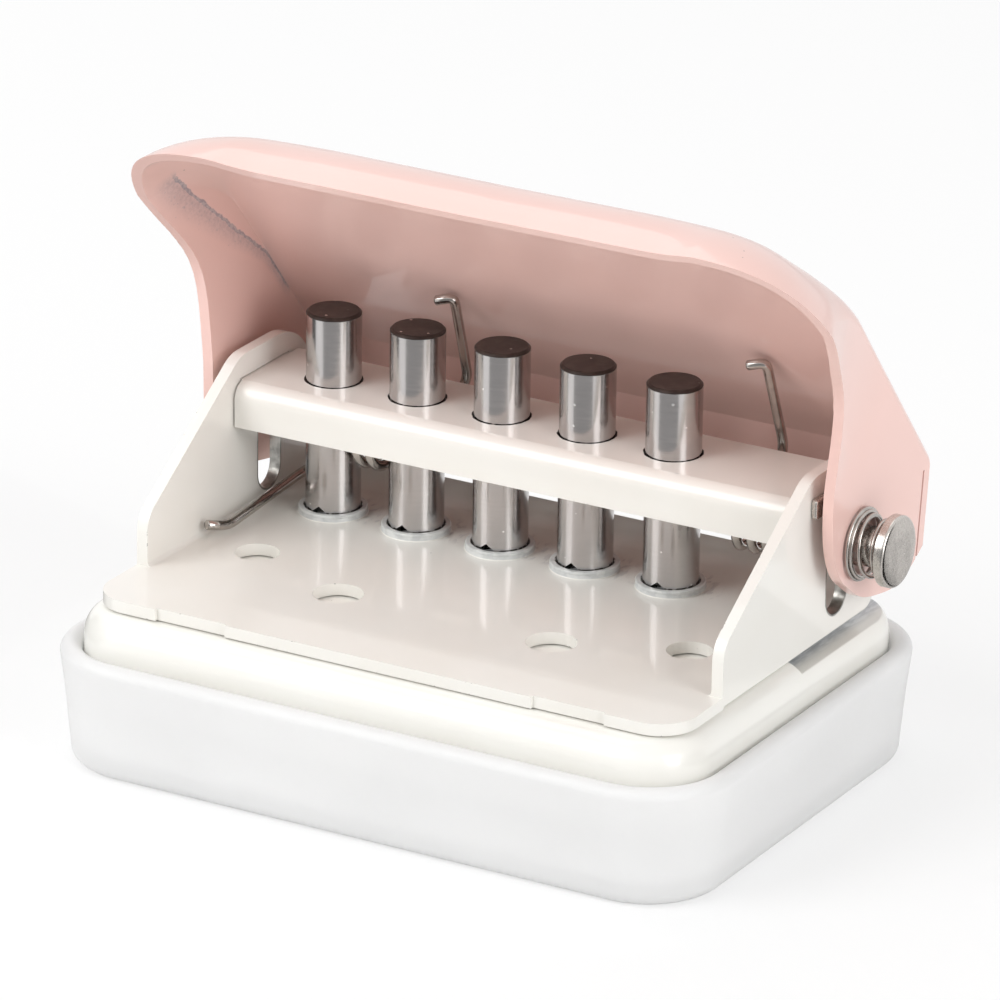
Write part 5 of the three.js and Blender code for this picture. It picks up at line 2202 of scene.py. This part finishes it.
@dataclass
class Studio:
    """Pale floor, soft lamps, white surroundings and the camera."""

    azimuth: float = 29.52
    elevation: float = 21.33
    roll: float = -0.79
    focal_pixels: float = 8254.0
    picture: float = 1000.0
    sensor: float = 36.0
    distance: float = 806.2
    aim_x: float = 0.01
    aim_y: float = 3.99
    aim: Spot = (-4.4, 10.05, 18.0)
    clip: Flat = (0.01, 50.0)
    floor_size: float = 3.0
    floor_tone: Colour = (0.93, 0.93, 0.93)
    floor_glow: float = 0.6
    fill: float = 0.49
    lamp_aim: Spot = (0, 0, 0.025)
    lamps: tuple[Lamp, ...] = (
        Lamp("key_lamp", (-0.5, -0.62, 0.62), (0.6, 0.6), 5.2),
        Lamp("fill_lamp", (0.9, -0.28, 0.42), (0.5, 0.7), 4.6),
        Lamp("top_lamp", (-0.4, 0.25, 0.83), (0.7, 0.7), 1.9),
    )
    screens: tuple[Screen, ...] = (
        Screen("front_screen", (-27, 50), 0.37),
        Screen("side_screen", (78, 124), 0.01),
        Screen("left_screen", (-110, -57), 0.08),
    )
    screen_line: tuple[Flat, ...] = ((0.055, 0.0004), (0.5, 0.0004), (0.5, 0.24))
    screen_steps: int = 24

    def axes(self) -> tuple[Vector, Vector, Vector]:
        """The camera's axes.

        Returns:
            Its right, down and forward directions.
        """
        az, el, roll = (math.radians(v) for v in (self.azimuth, self.elevation, self.roll))
        level, fall = math.cos(el), -math.sin(el)
        forward = Vector((-math.sin(az) * level, math.cos(az) * level, fall))
        right = Vector((math.cos(az), math.sin(az), 0))
        down = forward.cross(right)
        cosine, sine = math.cos(roll), math.sin(roll)
        return right * cosine + down * sine, down * cosine - right * sine, forward

    def camera(self) -> None:
        """Places the camera at the picture's angle."""
        right, down, forward = self.axes()
        place = Vector(self.aim) - right * self.aim_x - down * self.aim_y - forward * self.distance
        data = bpy.data.cameras.new("camera")
        data.sensor_width = self.sensor
        data.lens = self.focal_pixels * self.sensor / self.picture
        data.clip_start, data.clip_end = self.clip
        camera = shown("camera", data)
        columns = (right, -down, -forward, place * MM)
        camera.matrix_world = Matrix((*zip(*columns), (0, 0, 0, 1)))
        bpy.context.scene.camera = camera

    def floor(self) -> None:
        """Lays the pale floor, which keeps the punch's shadow."""
        half = self.floor_size / 2
        corners = [(x * half, y * half, 0) for x, y in ((-1, -1), (1, -1), (1, 1), (-1, 1))]
        mesh = bpy.data.meshes.new("studio_floor")
        mesh.from_pydata(corners, [], [(0, 1, 2, 3)])
        sheet = Sheet("pale_floor")
        sheet.sets(Base_Color=self.floor_tone, Roughness=0.7, Specular_IOR_Level=0.2)
        glow = sheet.node("Emission")
        glow.inputs["Strength"].default_value = 1.0
        glow.inputs["Color"].default_value = (1, 1, 1, 1)
        seen = sheet.node("LightPath").outputs["Is Camera Ray"]
        both = sheet.node("MixShader")
        shaders = (sheet.times(seen, self.floor_glow), sheet.main.outputs[0], glow.outputs[0])
        for start, end in zip(shaders, both.inputs):
            sheet.link(start, end)
        sheet.link(both.outputs[0], sheet.end.inputs["Surface"])
        mesh.materials.append(sheet.paper)
        shown("studio_floor", mesh)

    def hang(self, lamp: Lamp) -> None:
        """Hangs one soft lamp that faces the punch.

        Args:
            lamp: The lamp.
        """
        data = bpy.data.lights.new(lamp.name, "AREA")
        data.shape = "RECTANGLE"
        data.size, data.size_y = lamp.size
        data.energy = lamp.watts
        made = shown(lamp.name, data)
        made.location = lamp.place
        made.rotation_mode = "QUATERNION"
        way = Vector(self.lamp_aim) - Vector(lamp.place)
        made.rotation_quaternion = way.to_track_quat("-Z", "Y")

    def stand(self, screen: Screen) -> None:
        """Stands a screen with its foot laid towards the punch, for metal and gloss only.

        Args:
            screen: The screen.
        """
        steps = self.screen_steps
        angles = [math.radians(mix(*screen.sector, k / steps)) for k in range(steps + 1)]
        ways = [(math.sin(a), -math.cos(a)) for a in angles]
        middle = PLAN.row_y * MM
        points = [(x * far, middle + y * far, z) for far, z in self.screen_line for x, y in ways]
        rows = range(0, (len(self.screen_line) - 1) * (steps + 1), steps + 1)
        corners = (0, 1, steps + 2, steps + 1)
        faces = [[row + k + corner for corner in corners] for row in rows for k in range(steps)]
        mesh = bpy.data.meshes.new(screen.name)
        mesh.from_pydata(points, [], faces)
        sheet = Sheet(screen.name)
        sheet.sets(Base_Color=(screen.tone,) * 3, Roughness=0.9, Specular_IOR_Level=0.0)
        mesh.materials.append(sheet.paper)
        panel = shown(screen.name, mesh)
        panel.visible_camera = False
        panel.visible_shadow = False
        panel.visible_diffuse = False
        panel.visible_transmission = False

    def surroundings(self) -> None:
        """Surrounds the punch: white for the camera and for gloss, a gentler fill otherwise."""
        world = bpy.data.worlds.new("white_room")
        bpy.context.scene.world = world
        world.use_nodes = True
        tree = world.node_tree
        tree.nodes.clear()
        end = tree.nodes.new("ShaderNodeOutputWorld")
        path = tree.nodes.new("ShaderNodeLightPath")
        seen = path.outputs["Is Camera Ray"]
        for name in ("Is Glossy Ray", "Is Transmission Ray"):
            node = tree.nodes.new("ShaderNodeMath")
            node.operation = "MAXIMUM"
            tree.links.new(seen, node.inputs[0])
            tree.links.new(path.outputs[name], node.inputs[1])
            seen = node.outputs[0]
        both = tree.nodes.new("ShaderNodeMixShader")
        tree.links.new(seen, both.inputs[0])
        for place, strength in ((1, self.fill), (2, 1.0)):
            light = tree.nodes.new("ShaderNodeBackground")
            light.inputs["Color"].default_value = (1, 1, 1, 1)
            light.inputs["Strength"].default_value = strength
            tree.links.new(light.outputs[0], both.inputs[place])
        tree.links.new(both.outputs[0], end.inputs["Surface"])

    def build(self) -> None:
        """Sets the whole studio."""
        self.camera()
        self.floor()
        self.surroundings()
        for lamp in self.lamps:
            self.hang(lamp)
        for screen in self.screens:
            self.stand(screen)
        bpy.context.scene.view_settings.view_transform = "Standard"


def main() -> None:
    """Builds the studio and every sub-assembly in order."""
    logging.basicConfig(level=logging.INFO, format="%(name)s: %(message)s")
    Studio().build()
    crew = Crew()
    for part in (ChipTray, CastBase, FoldedFrame, GuideBar, PinRow, CrossRod, Springs, LeverCover):
        part().build(crew)
        LOG.info("%s done, %d pieces so far", part.__name__, len(crew.made))


if __name__ == "__main__":
    main()
